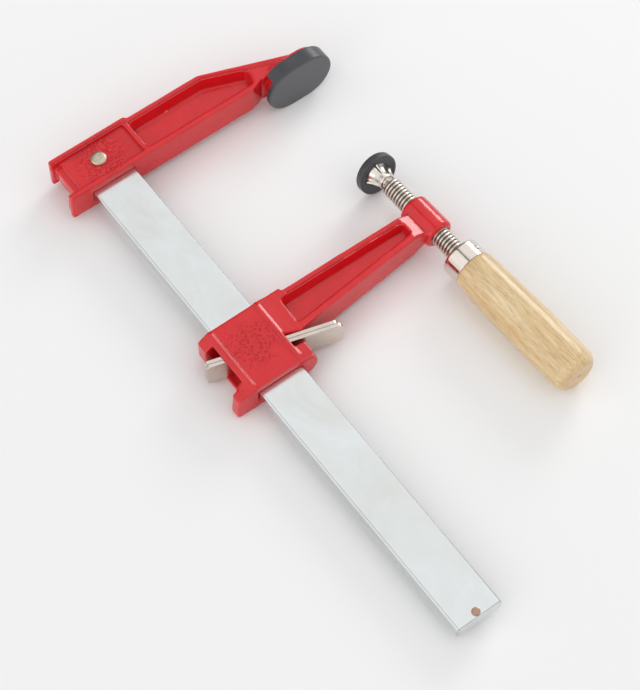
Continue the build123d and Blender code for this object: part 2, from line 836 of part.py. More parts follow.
# Pressed steel shell: a disc, and a cone that is closed around the ball
socket_radius = ball_radius + socket_fit
mouth_p = sqrt(socket_radius**2 - shell_hub_mouth**2)
with BuildPart() as swivel_pad_shell:
    with BuildSketch(pad_plane):
        with BuildLine():
            Polyline(
                (disc_front, 0),
                (disc_front, disc_radius),
                (disc_back, disc_radius),
                (disc_back, shell_hub_radius + 2.4),
                (-2.0, shell_hub_radius - 0.6),
                (mouth_p, shell_hub_mouth + 1.2),
                (mouth_p, shell_hub_mouth),
            )
            RadiusArc((mouth_p, shell_hub_mouth), (-socket_radius, 0), -socket_radius)
            Line((-socket_radius, 0), (disc_front, 0))
        make_face()
    revolve(axis=pad_axis)
    # Folded flutes down the cone
    for index in range(shell_flute_count):
        turn = 2 * pi * (index + 0.5) / shell_flute_count
        radial = pad_side * cos(turn) + pad_back_direction.cross(pad_side) * sin(turn)
        flute_plane = Plane(origin=ball_centre, x_dir=pad_back_direction, z_dir=pad_back_direction.cross(radial))
        with BuildSketch(flute_plane):
            with BuildLine():
                Polyline(
                    (disc_back - 0.2, shell_hub_radius),
                    (disc_back - 0.2, disc_radius - 1.4),
                    (disc_back + 1.0, disc_radius - 1.6),
                    (mouth_p - 0.3, shell_hub_mouth + 1.6),
                    (mouth_p - 0.3, shell_hub_mouth + 0.8),
                    (-2.0, shell_hub_radius - 1.2),
                    close=True,
                )
            make_face()
        extrude(amount=shell_flute_height / 2, both=True)
finish_piece(swivel_pad_shell.part, "swivel_pad_shell")

# Plastic cap over the shell's disc
with BuildPart() as swivel_pad_cap:
    with BuildSketch(pad_plane):
        with BuildLine():
            FilletPolyline(
                (face_p, 0),
                (face_p, swivel_radius),
                (rim_back, swivel_radius),
                radius=swivel_face_round,
            )
            Polyline(
                (rim_back, swivel_radius),
                (rim_back, disc_radius - swivel_lip),
                (disc_back + swivel_fit, disc_radius - swivel_lip),
                (disc_back + swivel_fit, disc_radius + swivel_fit),
                (disc_front, disc_radius + swivel_fit),
                (disc_front, 0),
                (face_p, 0),
            )
        make_face()
    revolve(axis=pad_axis)
finish_piece(swivel_pad_cap.part, "swivel_pad_cap")
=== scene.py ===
"""Deep-throat bar clamp, dressed for the studio.

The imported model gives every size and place. This script gives the castings their rounded, enamelled
surface, turns the spindle, ferrule and handle as fine meshes, and sets up the floor, light and camera.
All lengths are in metres unless a name ends in _mm.
"""
import logging
from dataclasses import dataclass, field
from enum import Enum
from math import atan2, cos, exp, pi, radians, sin, sqrt
from typing import Callable, Iterable, Sequence, Union

import bmesh
import bpy
import numpy as np
from mathutils import Matrix, Vector, noise


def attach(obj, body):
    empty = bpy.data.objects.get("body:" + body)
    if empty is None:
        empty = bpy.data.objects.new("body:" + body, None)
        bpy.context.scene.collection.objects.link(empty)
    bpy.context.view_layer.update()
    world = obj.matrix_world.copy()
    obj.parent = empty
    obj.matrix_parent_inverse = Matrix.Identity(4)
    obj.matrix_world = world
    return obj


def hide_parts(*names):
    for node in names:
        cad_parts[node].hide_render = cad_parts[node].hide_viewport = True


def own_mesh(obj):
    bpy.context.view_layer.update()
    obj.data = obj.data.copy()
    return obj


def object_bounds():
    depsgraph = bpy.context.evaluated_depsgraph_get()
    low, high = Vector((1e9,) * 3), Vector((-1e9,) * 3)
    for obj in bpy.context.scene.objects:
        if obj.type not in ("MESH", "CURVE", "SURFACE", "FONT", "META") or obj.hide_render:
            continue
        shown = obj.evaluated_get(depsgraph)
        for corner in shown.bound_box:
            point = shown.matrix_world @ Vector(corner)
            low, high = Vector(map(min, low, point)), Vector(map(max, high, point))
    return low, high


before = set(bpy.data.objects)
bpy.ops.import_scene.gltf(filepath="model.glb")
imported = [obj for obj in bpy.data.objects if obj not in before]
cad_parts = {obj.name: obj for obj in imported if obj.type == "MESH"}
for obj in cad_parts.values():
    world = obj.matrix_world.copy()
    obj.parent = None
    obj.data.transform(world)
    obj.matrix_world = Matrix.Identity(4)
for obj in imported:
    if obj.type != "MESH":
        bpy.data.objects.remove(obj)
cad_box = [list(corner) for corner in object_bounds()]

log = logging.getLogger("clamp")

MM = 0.001
Triple = tuple[float, float, float]
Colour = Triple
Pair = tuple[float, float]
Profile = list[Pair]
Socket = bpy.types.NodeSocket
Value = Union[Socket, float, tuple[float, ...]]
Placer = Callable[[float, float, float], Vector]
Shaper = Callable[[float, float, float], float]


class Slot(Enum):
    """Material slots, by what they cover."""

    ENAMEL = "red_enamel"
    ZINC = "zinc_plate"
    COPPER = "copper_pin"
    RIVET = "rivet_nickel"
    PLATE = "plate_nickel"
    SPINDLE = "spindle_nickel"
    FERRULE = "ferrule_nickel"
    SHELL = "shell_nickel"
    SPRING = "spring_steel"
    PLASTIC = "pad_plastic"
    WOOD = "handle_wood"


class Body(Enum):
    """Rigid bodies that the pieces ride on."""

    FRAME = "frame"
    SLIDER = "slider"
    CLUTCH = "clutch"
    SPINDLE = "spindle"
    PAD = "swivel_pad"


class Wiring:
    """Short way to write a node tree. A value is a number, a colour, or the output of another node."""

    def __init__(self, tree: bpy.types.NodeTree) -> None:
        """Write into a tree."""
        self.tree = tree

    def fill(self, node: bpy.types.Node, values: dict[str | int, Value]) -> None:
        """Give inputs of a node their values.

        Args:
            node: The node.
            values: What each named or numbered input gets. An output is linked, anything else is set.
        """
        for name, value in values.items():
            socket = node.inputs[name]
            if isinstance(value, bpy.types.NodeSocket):
                self.tree.links.new(value, socket)
            else:
                socket.default_value = (*value, 1.0) if socket.type == "RGBA" else value

    def node(self, kind: str, values: dict[str | int, Value], **settings: object) -> bpy.types.Node:
        """Add a node.

        Args:
            kind: Type of the node, without the word ShaderNode.
            values: What each named or numbered input gets.
            **settings: Properties of the node, such as its operation.

        Returns:
            The node.
        """
        node = self.tree.nodes.new(f"ShaderNode{kind}")
        for name, setting in settings.items():
            setattr(node, name, setting)
        self.fill(node, values)
        return node

    def math(self, operation: str, *values: Value) -> Socket:
        """Add a Math node and return its result."""
        return self.node("Math", dict(enumerate(values)), operation=operation).outputs[0]

    def vector(self, operation: str, *values: Value) -> Socket:
        """Add a Vector Math node and return its vector, or its value for a length."""
        node = self.node("VectorMath", dict(enumerate(values)), operation=operation)
        return node.outputs["Value" if operation == "LENGTH" else "Vector"]

    def away(self, value: Value, place: float) -> Socket:
        """Return how far a value is from a place."""
        return self.math("ABSOLUTE", self.math("SUBTRACT", value, place))

    def noise(self, where: Value, scale: Value, **values: Value) -> Socket:
        """Add a Noise Texture and return its factor."""
        return self.node("TexNoise", {"Vector": where, "Scale": scale, **values}).outputs["Fac"]

    def ramp(
        self, value: Value, low: Value, high: Value, start: float = 0.0, end: float = 1.0, ease: bool = True
    ) -> Socket:
        """Map a value from one range onto another.

        Args:
            value: Value to map.
            low: Where the ramp begins.
            high: Where it ends.
            start: Result at its beginning.
            end: Result at its end.
            ease: Whether it is smooth at both ends.

        Returns:
            The result, held between start and end.
        """
        kind = "SMOOTHSTEP" if ease else "LINEAR"
        values = {"Value": value, "From Min": low, "From Max": high, "To Min": start, "To Max": end}
        return self.node("MapRange", values, interpolation_type=kind).outputs["Result"]

    def spread(self, mask: Value, start: float, end: float) -> Socket:
        """Map a mask from 0 to 1 onto start to end."""
        return self.ramp(mask, 0.0, 1.0, start, end, ease=False)

    def mix(
        self, factor: Value, first: Value, second: Value, data: str = "RGBA", blend: str = "MIX"
    ) -> Socket:
        """Mix two colours, or two numbers where data is FLOAT, and return the result."""
        values = {"Factor": factor, "A": first, "B": second}
        return self.node("Mix", values, data_type=data, blend_type=blend).outputs["Result"]


class EffectGroups:
    """Shader node groups that several finishes share, each built once."""

    def __init__(self) -> None:
        """Build the groups."""
        self.grain = self._build_grain()
        self.cloud = self._build_cloud()
        self.scuff = self._build_scuff()

    @staticmethod
    def _new_group(
        name: str, inputs: dict[str, float | Colour | None], outputs: Sequence[str]
    ) -> tuple[Wiring, bpy.types.NodeOutputs, bpy.types.Node]:
        """Make an empty shader group with named sockets.

        Args:
            name: Name of the group.
            inputs: Socket names and default values. None makes a vector socket, a colour a colour one.
            outputs: Output names. Those that start with "Colour" are colour sockets.

        Returns:
            The group's wiring, what it is given, and the node that takes its results.
        """
        tree = bpy.data.node_groups.new(name, "ShaderNodeTree")
        for label, value in inputs.items():
            kind = "NodeSocketFloat"
            if value is None:
                kind = "NodeSocketVector"
            elif isinstance(value, tuple):
                kind = "NodeSocketColor"
            socket = tree.interface.new_socket(label, in_out="INPUT", socket_type=kind)
            if value is not None:
                socket.default_value = (*value, 1.0) if isinstance(value, tuple) else value
        for label in outputs:
            kind = "NodeSocketColor" if label.startswith("Colour") else "NodeSocketFloat"
            tree.interface.new_socket(label, in_out="OUTPUT", socket_type=kind)
        return Wiring(tree), tree.nodes.new("NodeGroupInput").outputs, tree.nodes.new("NodeGroupOutput")

    def _build_grain(self) -> bpy.types.NodeTree:
        """Fine surface grain: two sizes of noise, mixed, as a height and a mask.

        Returns:
            The group, with inputs Place, Scale, Coarse and Sharp.
        """
        inputs = {"Place": None, "Scale": 600.0, "Coarse": 0.5, "Sharp": 0.5}
        wiring, given, result = self._new_group("surface_grain", inputs, ["Height", "Mask"])
        fine = wiring.noise(given["Place"], given["Scale"], Detail=3.0, Roughness=0.55)
        wide = wiring.noise(given["Place"], wiring.math("MULTIPLY", given["Scale"], 0.31), Detail=2.0)
        height = wiring.mix(given["Coarse"], fine, wide, data="FLOAT")
        low = wiring.math("MULTIPLY_ADD", given["Sharp"], -0.3, 0.52)
        high = wiring.math("MULTIPLY_ADD", given["Sharp"], -0.3, 0.98)
        wiring.fill(result, {"Height": height, "Mask": wiring.ramp(height, low, high)})
        return wiring.tree

    def _build_cloud(self) -> bpy.types.NodeTree:
        """Slow change between two colours, as in plating, paint or wood.

        Returns:
            The group, with inputs Place, Scale, Colour A, Colour B, Contrast and Bend.
        """
        inputs = {"Place": None, "Scale": 30.0, "Colour A": (0.5, 0.5, 0.5), "Colour B": (0.6, 0.6, 0.6)}
        inputs |= {"Contrast": 1.0, "Bend": 0.5}
        wiring, given, result = self._new_group("cloudy_colour", inputs, ["Colour", "Mask"])
        shape = {"Detail": 5.0, "Roughness": 0.62, "Distortion": given["Bend"]}
        cloud = wiring.noise(given["Place"], given["Scale"], **shape)
        values = {0: wiring.math("SUBTRACT", cloud, 0.5), 1: given["Contrast"], 2: 0.5}
        mask = wiring.node("Math", values, operation="MULTIPLY_ADD", use_clamp=True).outputs[0]
        wiring.fill(result, {"Colour": wiring.mix(mask, given["Colour A"], given["Colour B"]), "Mask": mask})
        return wiring.tree

    def _build_scuff(self) -> bpy.types.NodeTree:
        """Thin scratches and handling marks, as a mask.

        Returns:
            The group, with inputs Place, Scale and Amount.
        """
        inputs = {"Place": None, "Scale": 60.0, "Amount": 0.4}
        wiring, given, result = self._new_group("handling_scuffs", inputs, ["Mask"])
        warp = wiring.noise(given["Place"], given["Scale"], Detail=4.0, Distortion=2.2)
        thin = wiring.ramp(wiring.away(warp, 0.5), 0.0, 0.012, 1.0, 0.0, ease=False)
        patches = wiring.noise(given["Place"], wiring.math("MULTIPLY", given["Scale"], 0.35), Detail=1.0)
        both = wiring.math("MULTIPLY", thin, wiring.ramp(patches, 0.5, 0.62))
        wiring.fill(result, {"Mask": wiring.math("MULTIPLY", both, given["Amount"])})
        return wiring.tree


class Surface(Wiring):
    """Wiring of a material that has one Principled shader and shares effects with the others."""

    def __init__(self, name: str, effects: EffectGroups) -> None:
        """Make the material.

        Args:
            name: Name of the material.
            effects: Shared node groups.
        """
        self.material = bpy.data.materials.new(name)
        self.material.use_nodes = True
        super().__init__(self.material.node_tree)
        self.effects = effects
        self.shader = self.tree.nodes["Principled BSDF"]

    def place(
        self, stretch: Triple = (1.0, 1.0, 1.0), turn: float = 0.0, shift: Triple = (0.0, 0.0, 0.0)
    ) -> Socket:
        """Object coordinates, turned about Z and stretched.

        Args:
            stretch: Scale along X, Y and Z.
            turn: Turn about Z, in radians.
            shift: Offset of the texture.

        Returns:
            The vector socket.
        """
        coordinates = self.node("TexCoord", {}).outputs["Object"]
        turned = self.node("Mapping", {"Vector": coordinates, "Rotation": (0.0, 0.0, turn)})
        values = {"Vector": turned.outputs["Vector"], "Scale": stretch, "Location": shift}
        return self.node("Mapping", values).outputs["Vector"]

    def use(
        self, group: bpy.types.NodeTree, where: Socket, **values: float | Colour
    ) -> bpy.types.NodeOutputs:
        """Place a shared group.

        Args:
            group: Shared group.
            where: Vector socket with the coordinates.
            **values: Input values, with underscores for spaces in their names.

        Returns:
            The group's outputs.
        """
        named = {key.replace("_", " "): value for key, value in values.items()}
        return self.node("Group", {"Place": where, **named}, node_tree=group).outputs

    def finish(self, values: dict[str, Value], heights: Sequence[tuple[Socket, float, float]]) -> None:
        """Give the shader its values, and a chain of bumps as its normal.

        Args:
            values: What each input of the shader gets.
            heights: Height socket, strength and distance of each bump.
        """
        normal: dict[str, Value] = {}
        for height, strength, distance in heights:
            bump = {"Height": height, "Strength": strength, "Distance": distance, **normal}
            normal = {"Normal": self.node("Bump", bump).outputs["Normal"]}
        self.fill(self.shader, {**values, **normal})


@dataclass(frozen=True)
class EnamelFinish:
    """Glossy enamel over a sand-cast surface.

    Attributes:
        deep: Colour where the coat is thick.
        bright: Colour where it is thin.
        pooled_and_shade: Colour in the corners: pooled enamel, and painted shade.
        thin: Colour on the sharp edges, a lighter red painted as a highlight.
        hollow_bend: Pointiness where a corner is full and where it ends.
        crest_bend: Pointiness where an edge begins and where it is full.
        grain_mm: Size of the sand grain that shows through.
        pitted: Middle of the pitted patch on the sliding jaw.
        pitted_radii: Where the patch begins to fade and where it ends.
        wrinkled: Middle of the wrinkled patch on the fixed jaw.
        wrinkled_radii: The same for that patch.
    """

    deep: Colour = (0.61, 0.006, 0.011)
    bright: Colour = (0.74, 0.014, 0.021)
    pooled_and_shade: Colour = (0.27, 0.001, 0.004)
    thin: Colour = (0.86, 0.085, 0.095)
    hollow_bend: Pair = (0.44, 0.497)
    crest_bend: Pair = (0.515, 0.58)
    grain_mm: float = 1.1
    pitted: Triple = (160.0 * MM, -158.0 * MM, 13.5 * MM)
    pitted_radii: Pair = (10.0 * MM, 24.0 * MM)
    wrinkled: Triple = (-27.0 * MM, -154.0 * MM, 8.0 * MM)
    wrinkled_radii: Pair = (11.0 * MM, 24.0 * MM)

    def apply(self, surface: Surface) -> None:
        """Wire the enamel into a material.

        Args:
            surface: The material.
        """
        where = surface.place()
        effects = surface.effects
        tones = {"Colour_A": self.deep, "Colour_B": self.bright, "Contrast": 1.6}
        cloud = surface.use(effects.cloud, where, Scale=55.0, **tones)
        grain = surface.use(effects.grain, where, Scale=1.0 / (self.grain_mm * MM), Coarse=0.35)
        ripple = surface.use(effects.grain, where, Scale=180.0, Coarse=0.6)
        bend = surface.node("NewGeometry", {}).outputs["Pointiness"]
        # Painted shade: the hollows take a dark red, where enamel also pools.
        hollow = surface.ramp(bend, *self.hollow_bend, 1.0, 0.0)
        pooled_and_shade = surface.mix(hollow, cloud["Colour"], self.pooled_and_shade)
        values = {
            # Painted highlight: the crests take a lighter red.
            "Base Color": surface.mix(surface.ramp(bend, *self.crest_bend), pooled_and_shade, self.thin),
            "Roughness": surface.spread(grain["Mask"], 0.14, 0.28),
            "Specular IOR Level": 0.42,
            "Coat Weight": 0.22,
            "Coat Roughness": 0.06,
        }
        pits = self._spots(surface, where, 560.0, 0.55, 0.64)
        pits = surface.math("MULTIPLY", self._patch(surface, where, self.pitted, self.pitted_radii), pits)
        folds = surface.use(effects.grain, where, Scale=1000.0, Coarse=1.0)
        wrinkles = surface.ramp(surface.away(folds["Height"], 0.5), 0.0, 0.06, 1.0, 0.0)
        patch = self._patch(surface, where, self.wrinkled, self.wrinkled_radii)
        wrinkles = surface.math("MULTIPLY", patch, wrinkles)
        bubbles = surface.math("MULTIPLY", hollow, self._spots(surface, where, 640.0, 0.5, 0.62))
        heights = [
            (ripple["Height"], 0.5, 0.8 * MM),
            (grain["Height"], 0.45, 0.2 * MM),
            (pits, 1.0, -0.5 * MM),
            (wrinkles, 1.0, 0.4 * MM),
            (bubbles, 1.0, 0.5 * MM),
        ]
        surface.finish(values, heights)

    @staticmethod
    def _patch(surface: Surface, where: Socket, centre: Triple, radii: Pair) -> Socket:
        """Return the mask of a round patch, from its centre and the radii between which it fades."""
        length = surface.vector("LENGTH", surface.vector("SUBTRACT", where, centre))
        return surface.ramp(length, *radii, 1.0, 0.0)

    @staticmethod
    def _spots(surface: Surface, where: Socket, scale: float, low: float, high: float) -> Socket:
        """Return a mask of small round spots, such as pits or bubbles, from the noise between two levels."""
        spots = surface.use(surface.effects.grain, where, Scale=scale, Coarse=0.0)
        return surface.ramp(spots["Height"], low, high)


@dataclass(frozen=True)
class PlatedFinish:
    """Plated metal: zinc, nickel or copper.

    Attributes:
        colour: Main colour.
        stain: Colour of the clouded places.
        roughness: Lowest and highest roughness.
        cloud_scale: Clouds per metre.
        stretch: Stretch of the texture along X, Y and Z.
        turn: Turn of the texture about Z.
        grain_mm: Size of the surface grain.
        relief: Strength of the grain's bump.
        scuffs: Amount of handling marks.
        contrast: Contrast of the clouds.
    """

    colour: Colour
    stain: Colour
    roughness: Pair
    cloud_scale: float = 60.0
    stretch: Triple = (1.0, 1.0, 1.0)
    turn: float = 0.0
    grain_mm: float = 0.8
    relief: float = 0.15
    scuffs: float = 0.3
    contrast: float = 1.4

    def shade(self, surface: Surface, where: Socket, colour: Socket) -> Socket:
        """Return the colour socket. A finish that paints shade and dark lines adds them here."""
        return colour

    def apply(self, surface: Surface) -> None:
        """Wire the plating into a material.

        Args:
            surface: The material.
        """
        stretched = surface.place(self.stretch, self.turn)
        plain = surface.place()
        effects = surface.effects
        tones = {"Colour_A": self.colour, "Colour_B": self.stain, "Contrast": self.contrast, "Bend": 0.8}
        cloud = surface.use(effects.cloud, stretched, Scale=self.cloud_scale, **tones)
        grain = surface.use(effects.grain, stretched, Scale=1.0 / (self.grain_mm * MM), Coarse=0.3)
        marks = surface.use(effects.scuff, plain, Scale=70.0, Amount=self.scuffs)
        dulled = surface.mix(marks["Mask"], cloud["Colour"], self.stain)
        values = {
            "Base Color": self.shade(surface, plain, dulled),
            "Roughness": surface.spread(cloud["Mask"], *self.roughness),
            "Metallic": 1.0,
        }
        surface.finish(values, [(grain["Height"], self.relief, 0.12 * MM)])


@dataclass(frozen=True)
class ThreadFinish(PlatedFinish):
    """Nickel plating of the spindle's thread, with painted shade in its grooves.

    Attributes:
        groove_shade: Dark colour painted into the groove as shade.
        depth: How much of it shows at the bottom of the groove.
    """

    groove_shade: Colour = (0.1, 0.085, 0.07)
    depth: float = 0.88

    def shade(self, surface: Surface, where: Socket, colour: Socket) -> Socket:
        """Darken the grooves with painted shade.

        Args:
            surface: The material.
            where: Object coordinates.
            colour: Colour of the plating.

        Returns:
            The colour socket.
        """
        root, crest = Spindle.minor, Spindle.major
        shifted = surface.vector("SUBTRACT", where, (*Spindle.boss, 0.0))
        turning = {"Vector": shifted, "Angle": -Spindle.lean}
        turned = surface.node("VectorRotate", turning, rotation_type="Z_AXIS").outputs["Vector"]
        radius = surface.vector("LENGTH", surface.vector("MULTIPLY", turned, (0.0, 1.0, 1.0)))
        # Painted shade: the colour darkens towards the root of the thread.
        groove = surface.ramp(radius, root + 0.1 * MM, root * 0.35 + crest * 0.65, self.depth, 0.0)
        outside = surface.ramp(radius, root - 0.5 * MM, root - 0.2 * MM, ease=False)
        return surface.mix(surface.math("MULTIPLY", groove, outside), colour, self.groove_shade)


@dataclass(frozen=True)
class BarFinish(PlatedFinish):
    """Zinc plating of the bar, with thin dark lines at its edges: painted reflections along the top, and a
    burr with painted shade round the sheared end.

    Attributes:
        line: Colour of the lines, painted reflection and shade.
    """

    line: Colour = (0.2, 0.21, 0.21)

    def shade(self, surface: Surface, where: Socket, colour: Socket) -> Socket:
        """Paint dark reflection lines along the edges of the top, and a patchy dark rim of burr and painted
        shade round the sheared end.

        Args:
            surface: The material.
            where: Object coordinates.
            colour: Colour of the plating.

        Returns:
            The colour socket.
        """
        parts = surface.node("SeparateXYZ", {"Vector": where}).outputs
        half = BarAndPlates.bar_size[0] / 2
        middle = BarAndPlates.bar_middle
        end = BarAndPlates.bar_ends[1]
        patches = surface.use(surface.effects.grain, where, Scale=90.0, Coarse=0.5, Sharp=0.4)
        # Painted reflections: dark lines along both long edges of the top.
        near = self._line(surface, parts["Y"], middle + half - 0.4 * MM, 0.42 * MM, 0.95)
        far = self._line(surface, parts["Y"], middle - half + 1.3 * MM, 0.35 * MM, 0.5)
        # Painted shade with the burr: a patchy dark rim round the sheared end.
        rim = self._line(surface, parts["X"], end - 0.75 * MM, 0.5 * MM, 1.0)
        worn = surface.math("MULTIPLY", rim, surface.spread(patches["Mask"], 0.45, 1.0))
        for mask in (near, far, worn):
            colour = surface.mix(mask, colour, self.line)
        return colour

    @staticmethod
    def _line(surface: Surface, value: Socket, place: float, half_width: float, level: float) -> Socket:
        """Return the mask of a soft line, from its place, half its width and its highest value."""
        return surface.ramp(surface.away(value, place), half_width * 0.3, half_width, level, 0.0)


@dataclass(frozen=True)
class PlasticFinish:
    """Moulded plastic with a fine satin texture.

    Attributes:
        colour: Main colour.
        pale: Colour of rubbed places.
        face: Colour of the fixed pad's worn face, which lies where X is zero.
        scratch: Colour of the scratches.
    """

    colour: Colour = (0.04, 0.042, 0.048)
    pale: Colour = (0.066, 0.068, 0.075)
    face: Colour = (0.086, 0.088, 0.098)
    scratch: Colour = (0.16, 0.16, 0.17)

    def apply(self, surface: Surface) -> None:
        """Wire the plastic into a material.

        Args:
            surface: The material.
        """
        where = surface.place()
        effects = surface.effects
        tones = {"Colour_A": self.colour, "Colour_B": self.pale, "Contrast": 1.2}
        cloud = surface.use(effects.cloud, where, Scale=70.0, **tones)
        grain = surface.use(effects.grain, where, Scale=2200.0, Coarse=0.3)
        marks = surface.use(effects.scuff, where, Scale=45.0, Amount=0.25)
        along = surface.node("SeparateXYZ", {"Vector": where}).outputs["X"]
        on_face = surface.ramp(surface.math("ABSOLUTE", along), 0.5 * MM, 1.0 * MM, 1.0, 0.0, ease=False)
        faced = surface.mix(on_face, cloud["Colour"], self.face)
        values = {
            "Base Color": surface.mix(marks["Mask"], faced, self.scratch),
            "Roughness": surface.spread(grain["Mask"], 0.34, 0.48),
        }
        surface.finish(values, [(grain["Height"], 0.25, 0.08 * MM)])


@dataclass(frozen=True)
class WoodFinish:
    """Turned pale wood with open pores under a thin varnish.

    Attributes:
        pale: Colour of the early wood.
        warm: Colour of the late wood.
        pore: Colour inside the pores.
        end_grain: Colour of the end grain.
    """

    pale: Colour = (0.95, 0.76, 0.47)
    warm: Colour = (0.7, 0.46, 0.2)
    pore: Colour = (0.3, 0.15, 0.05)
    end_grain: Colour = (0.58, 0.36, 0.17)

    def apply(self, surface: Surface) -> None:
        """Wire the wood into a material.

        Args:
            surface: The material.
        """
        along = surface.place((0.09, 1.0, 1.0), -Spindle.lean)
        fine = surface.place((0.075, 1.0, 1.0), -Spindle.lean, (0.3, 0.1, 0.2))
        effects = surface.effects
        banding = {"Colour_A": self.pale, "Colour_B": self.warm, "Contrast": 2.1, "Bend": 0.4}
        bands = surface.use(effects.cloud, along, Scale=210.0, **banding)
        tinting = {"Colour_A": (0.9, 0.9, 0.9), "Colour_B": (1.0, 1.0, 1.0), "Contrast": 2.0}
        tint = surface.use(effects.cloud, along, Scale=70.0, **tinting)
        pores = surface.use(effects.grain, fine, Scale=1500.0, Coarse=0.25, Sharp=0.3)
        shaded = surface.mix(1.0, bands["Colour"], tint["Colour"], blend="MULTIPLY")
        pored = surface.mix(pores["Mask"], shaded, self.pore)
        end_x = Spindle.boss[0] + Spindle.handle_end * cos(Spindle.lean)
        reach = surface.node("SeparateXYZ", {"Vector": surface.place()}).outputs["X"]
        ends = surface.ramp(reach, end_x - 5.0 * MM, end_x + 1.5 * MM, 0.0, 0.62)
        values = {
            "Base Color": surface.mix(ends, pored, self.end_grain),
            "Roughness": surface.spread(pores["Mask"], 0.34, 0.62),
            "Coat Weight": 0.25,
            "Coat Roughness": 0.22,
        }
        surface.finish(values, [(pores["Mask"], -0.5, 0.12 * MM), (bands["Mask"], 0.12, 0.2 * MM)])


class Palette:
    """All finishes, built once."""

    def __init__(self) -> None:
        """Build the finishes."""
        effects = EffectGroups()
        finishes = {
            Slot.ENAMEL: EnamelFinish(),
            Slot.ZINC: BarFinish(
                (0.78, 0.82, 0.845),
                (0.69, 0.705, 0.67),
                (0.13, 0.3),
                26.0,
                stretch=(0.7, 1.0, 1.0),
                grain_mm=0.7,
                relief=0.1,
                scuffs=0.5,
            ),
            Slot.COPPER: PlatedFinish((0.55, 0.36, 0.26), (0.36, 0.21, 0.14), (0.1, 0.2)),
            Slot.RIVET: PlatedFinish((0.72, 0.63, 0.5), (0.55, 0.46, 0.35), (0.3, 0.45), 300.0),
            Slot.PLATE: PlatedFinish(
                (0.76, 0.68, 0.61), (0.62, 0.54, 0.47), (0.18, 0.28), 90.0, grain_mm=0.5, relief=0.05
            ),
            Slot.SPINDLE: ThreadFinish((0.86, 0.8, 0.72), (0.62, 0.55, 0.47), (0.22, 0.34), 250.0),
            Slot.FERRULE: PlatedFinish(
                (0.84, 0.77, 0.71),
                (0.66, 0.58, 0.5),
                (0.1, 0.2),
                260.0,
                stretch=(0.08, 1.0, 1.0),
                turn=-Spindle.lean,
                grain_mm=0.5,
                relief=0.08,
            ),
            Slot.SHELL: PlatedFinish((0.78, 0.74, 0.68), (0.6, 0.55, 0.48), (0.12, 0.24)),
            Slot.SPRING: PlatedFinish((0.3, 0.3, 0.31), (0.2, 0.19, 0.18), (0.3, 0.45)),
            Slot.PLASTIC: PlasticFinish(),
            Slot.WOOD: WoodFinish(),
        }
        self.materials: dict[Slot, bpy.types.Material] = {}
        for slot, finish in finishes.items():
            surface = Surface(slot.value, effects)
            finish.apply(surface)
            self.materials[slot] = surface.material

    def dress(self, piece: bpy.types.Object, slot: Slot) -> bpy.types.Object:
        """Give a piece one finish.

        Args:
            piece: Object to dress.
            slot: Slot whose finish it takes.

        Returns:
            The piece.
        """
        piece.data.materials.clear()
        piece.data.materials.append(self.materials[slot])
        return piece

    def fit(self, piece: bpy.types.Object, node: str, body: Body, slot: Slot) -> bpy.types.Object:
        """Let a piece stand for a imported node.

        Args:
            piece: Object to fit, in its place.
            node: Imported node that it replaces.
            body: Body that it rides on.
            slot: Slot whose finish it takes.

        Returns:
            The piece.
        """
        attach(piece, body.value)
        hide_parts(node)
        return self.dress(piece, slot)


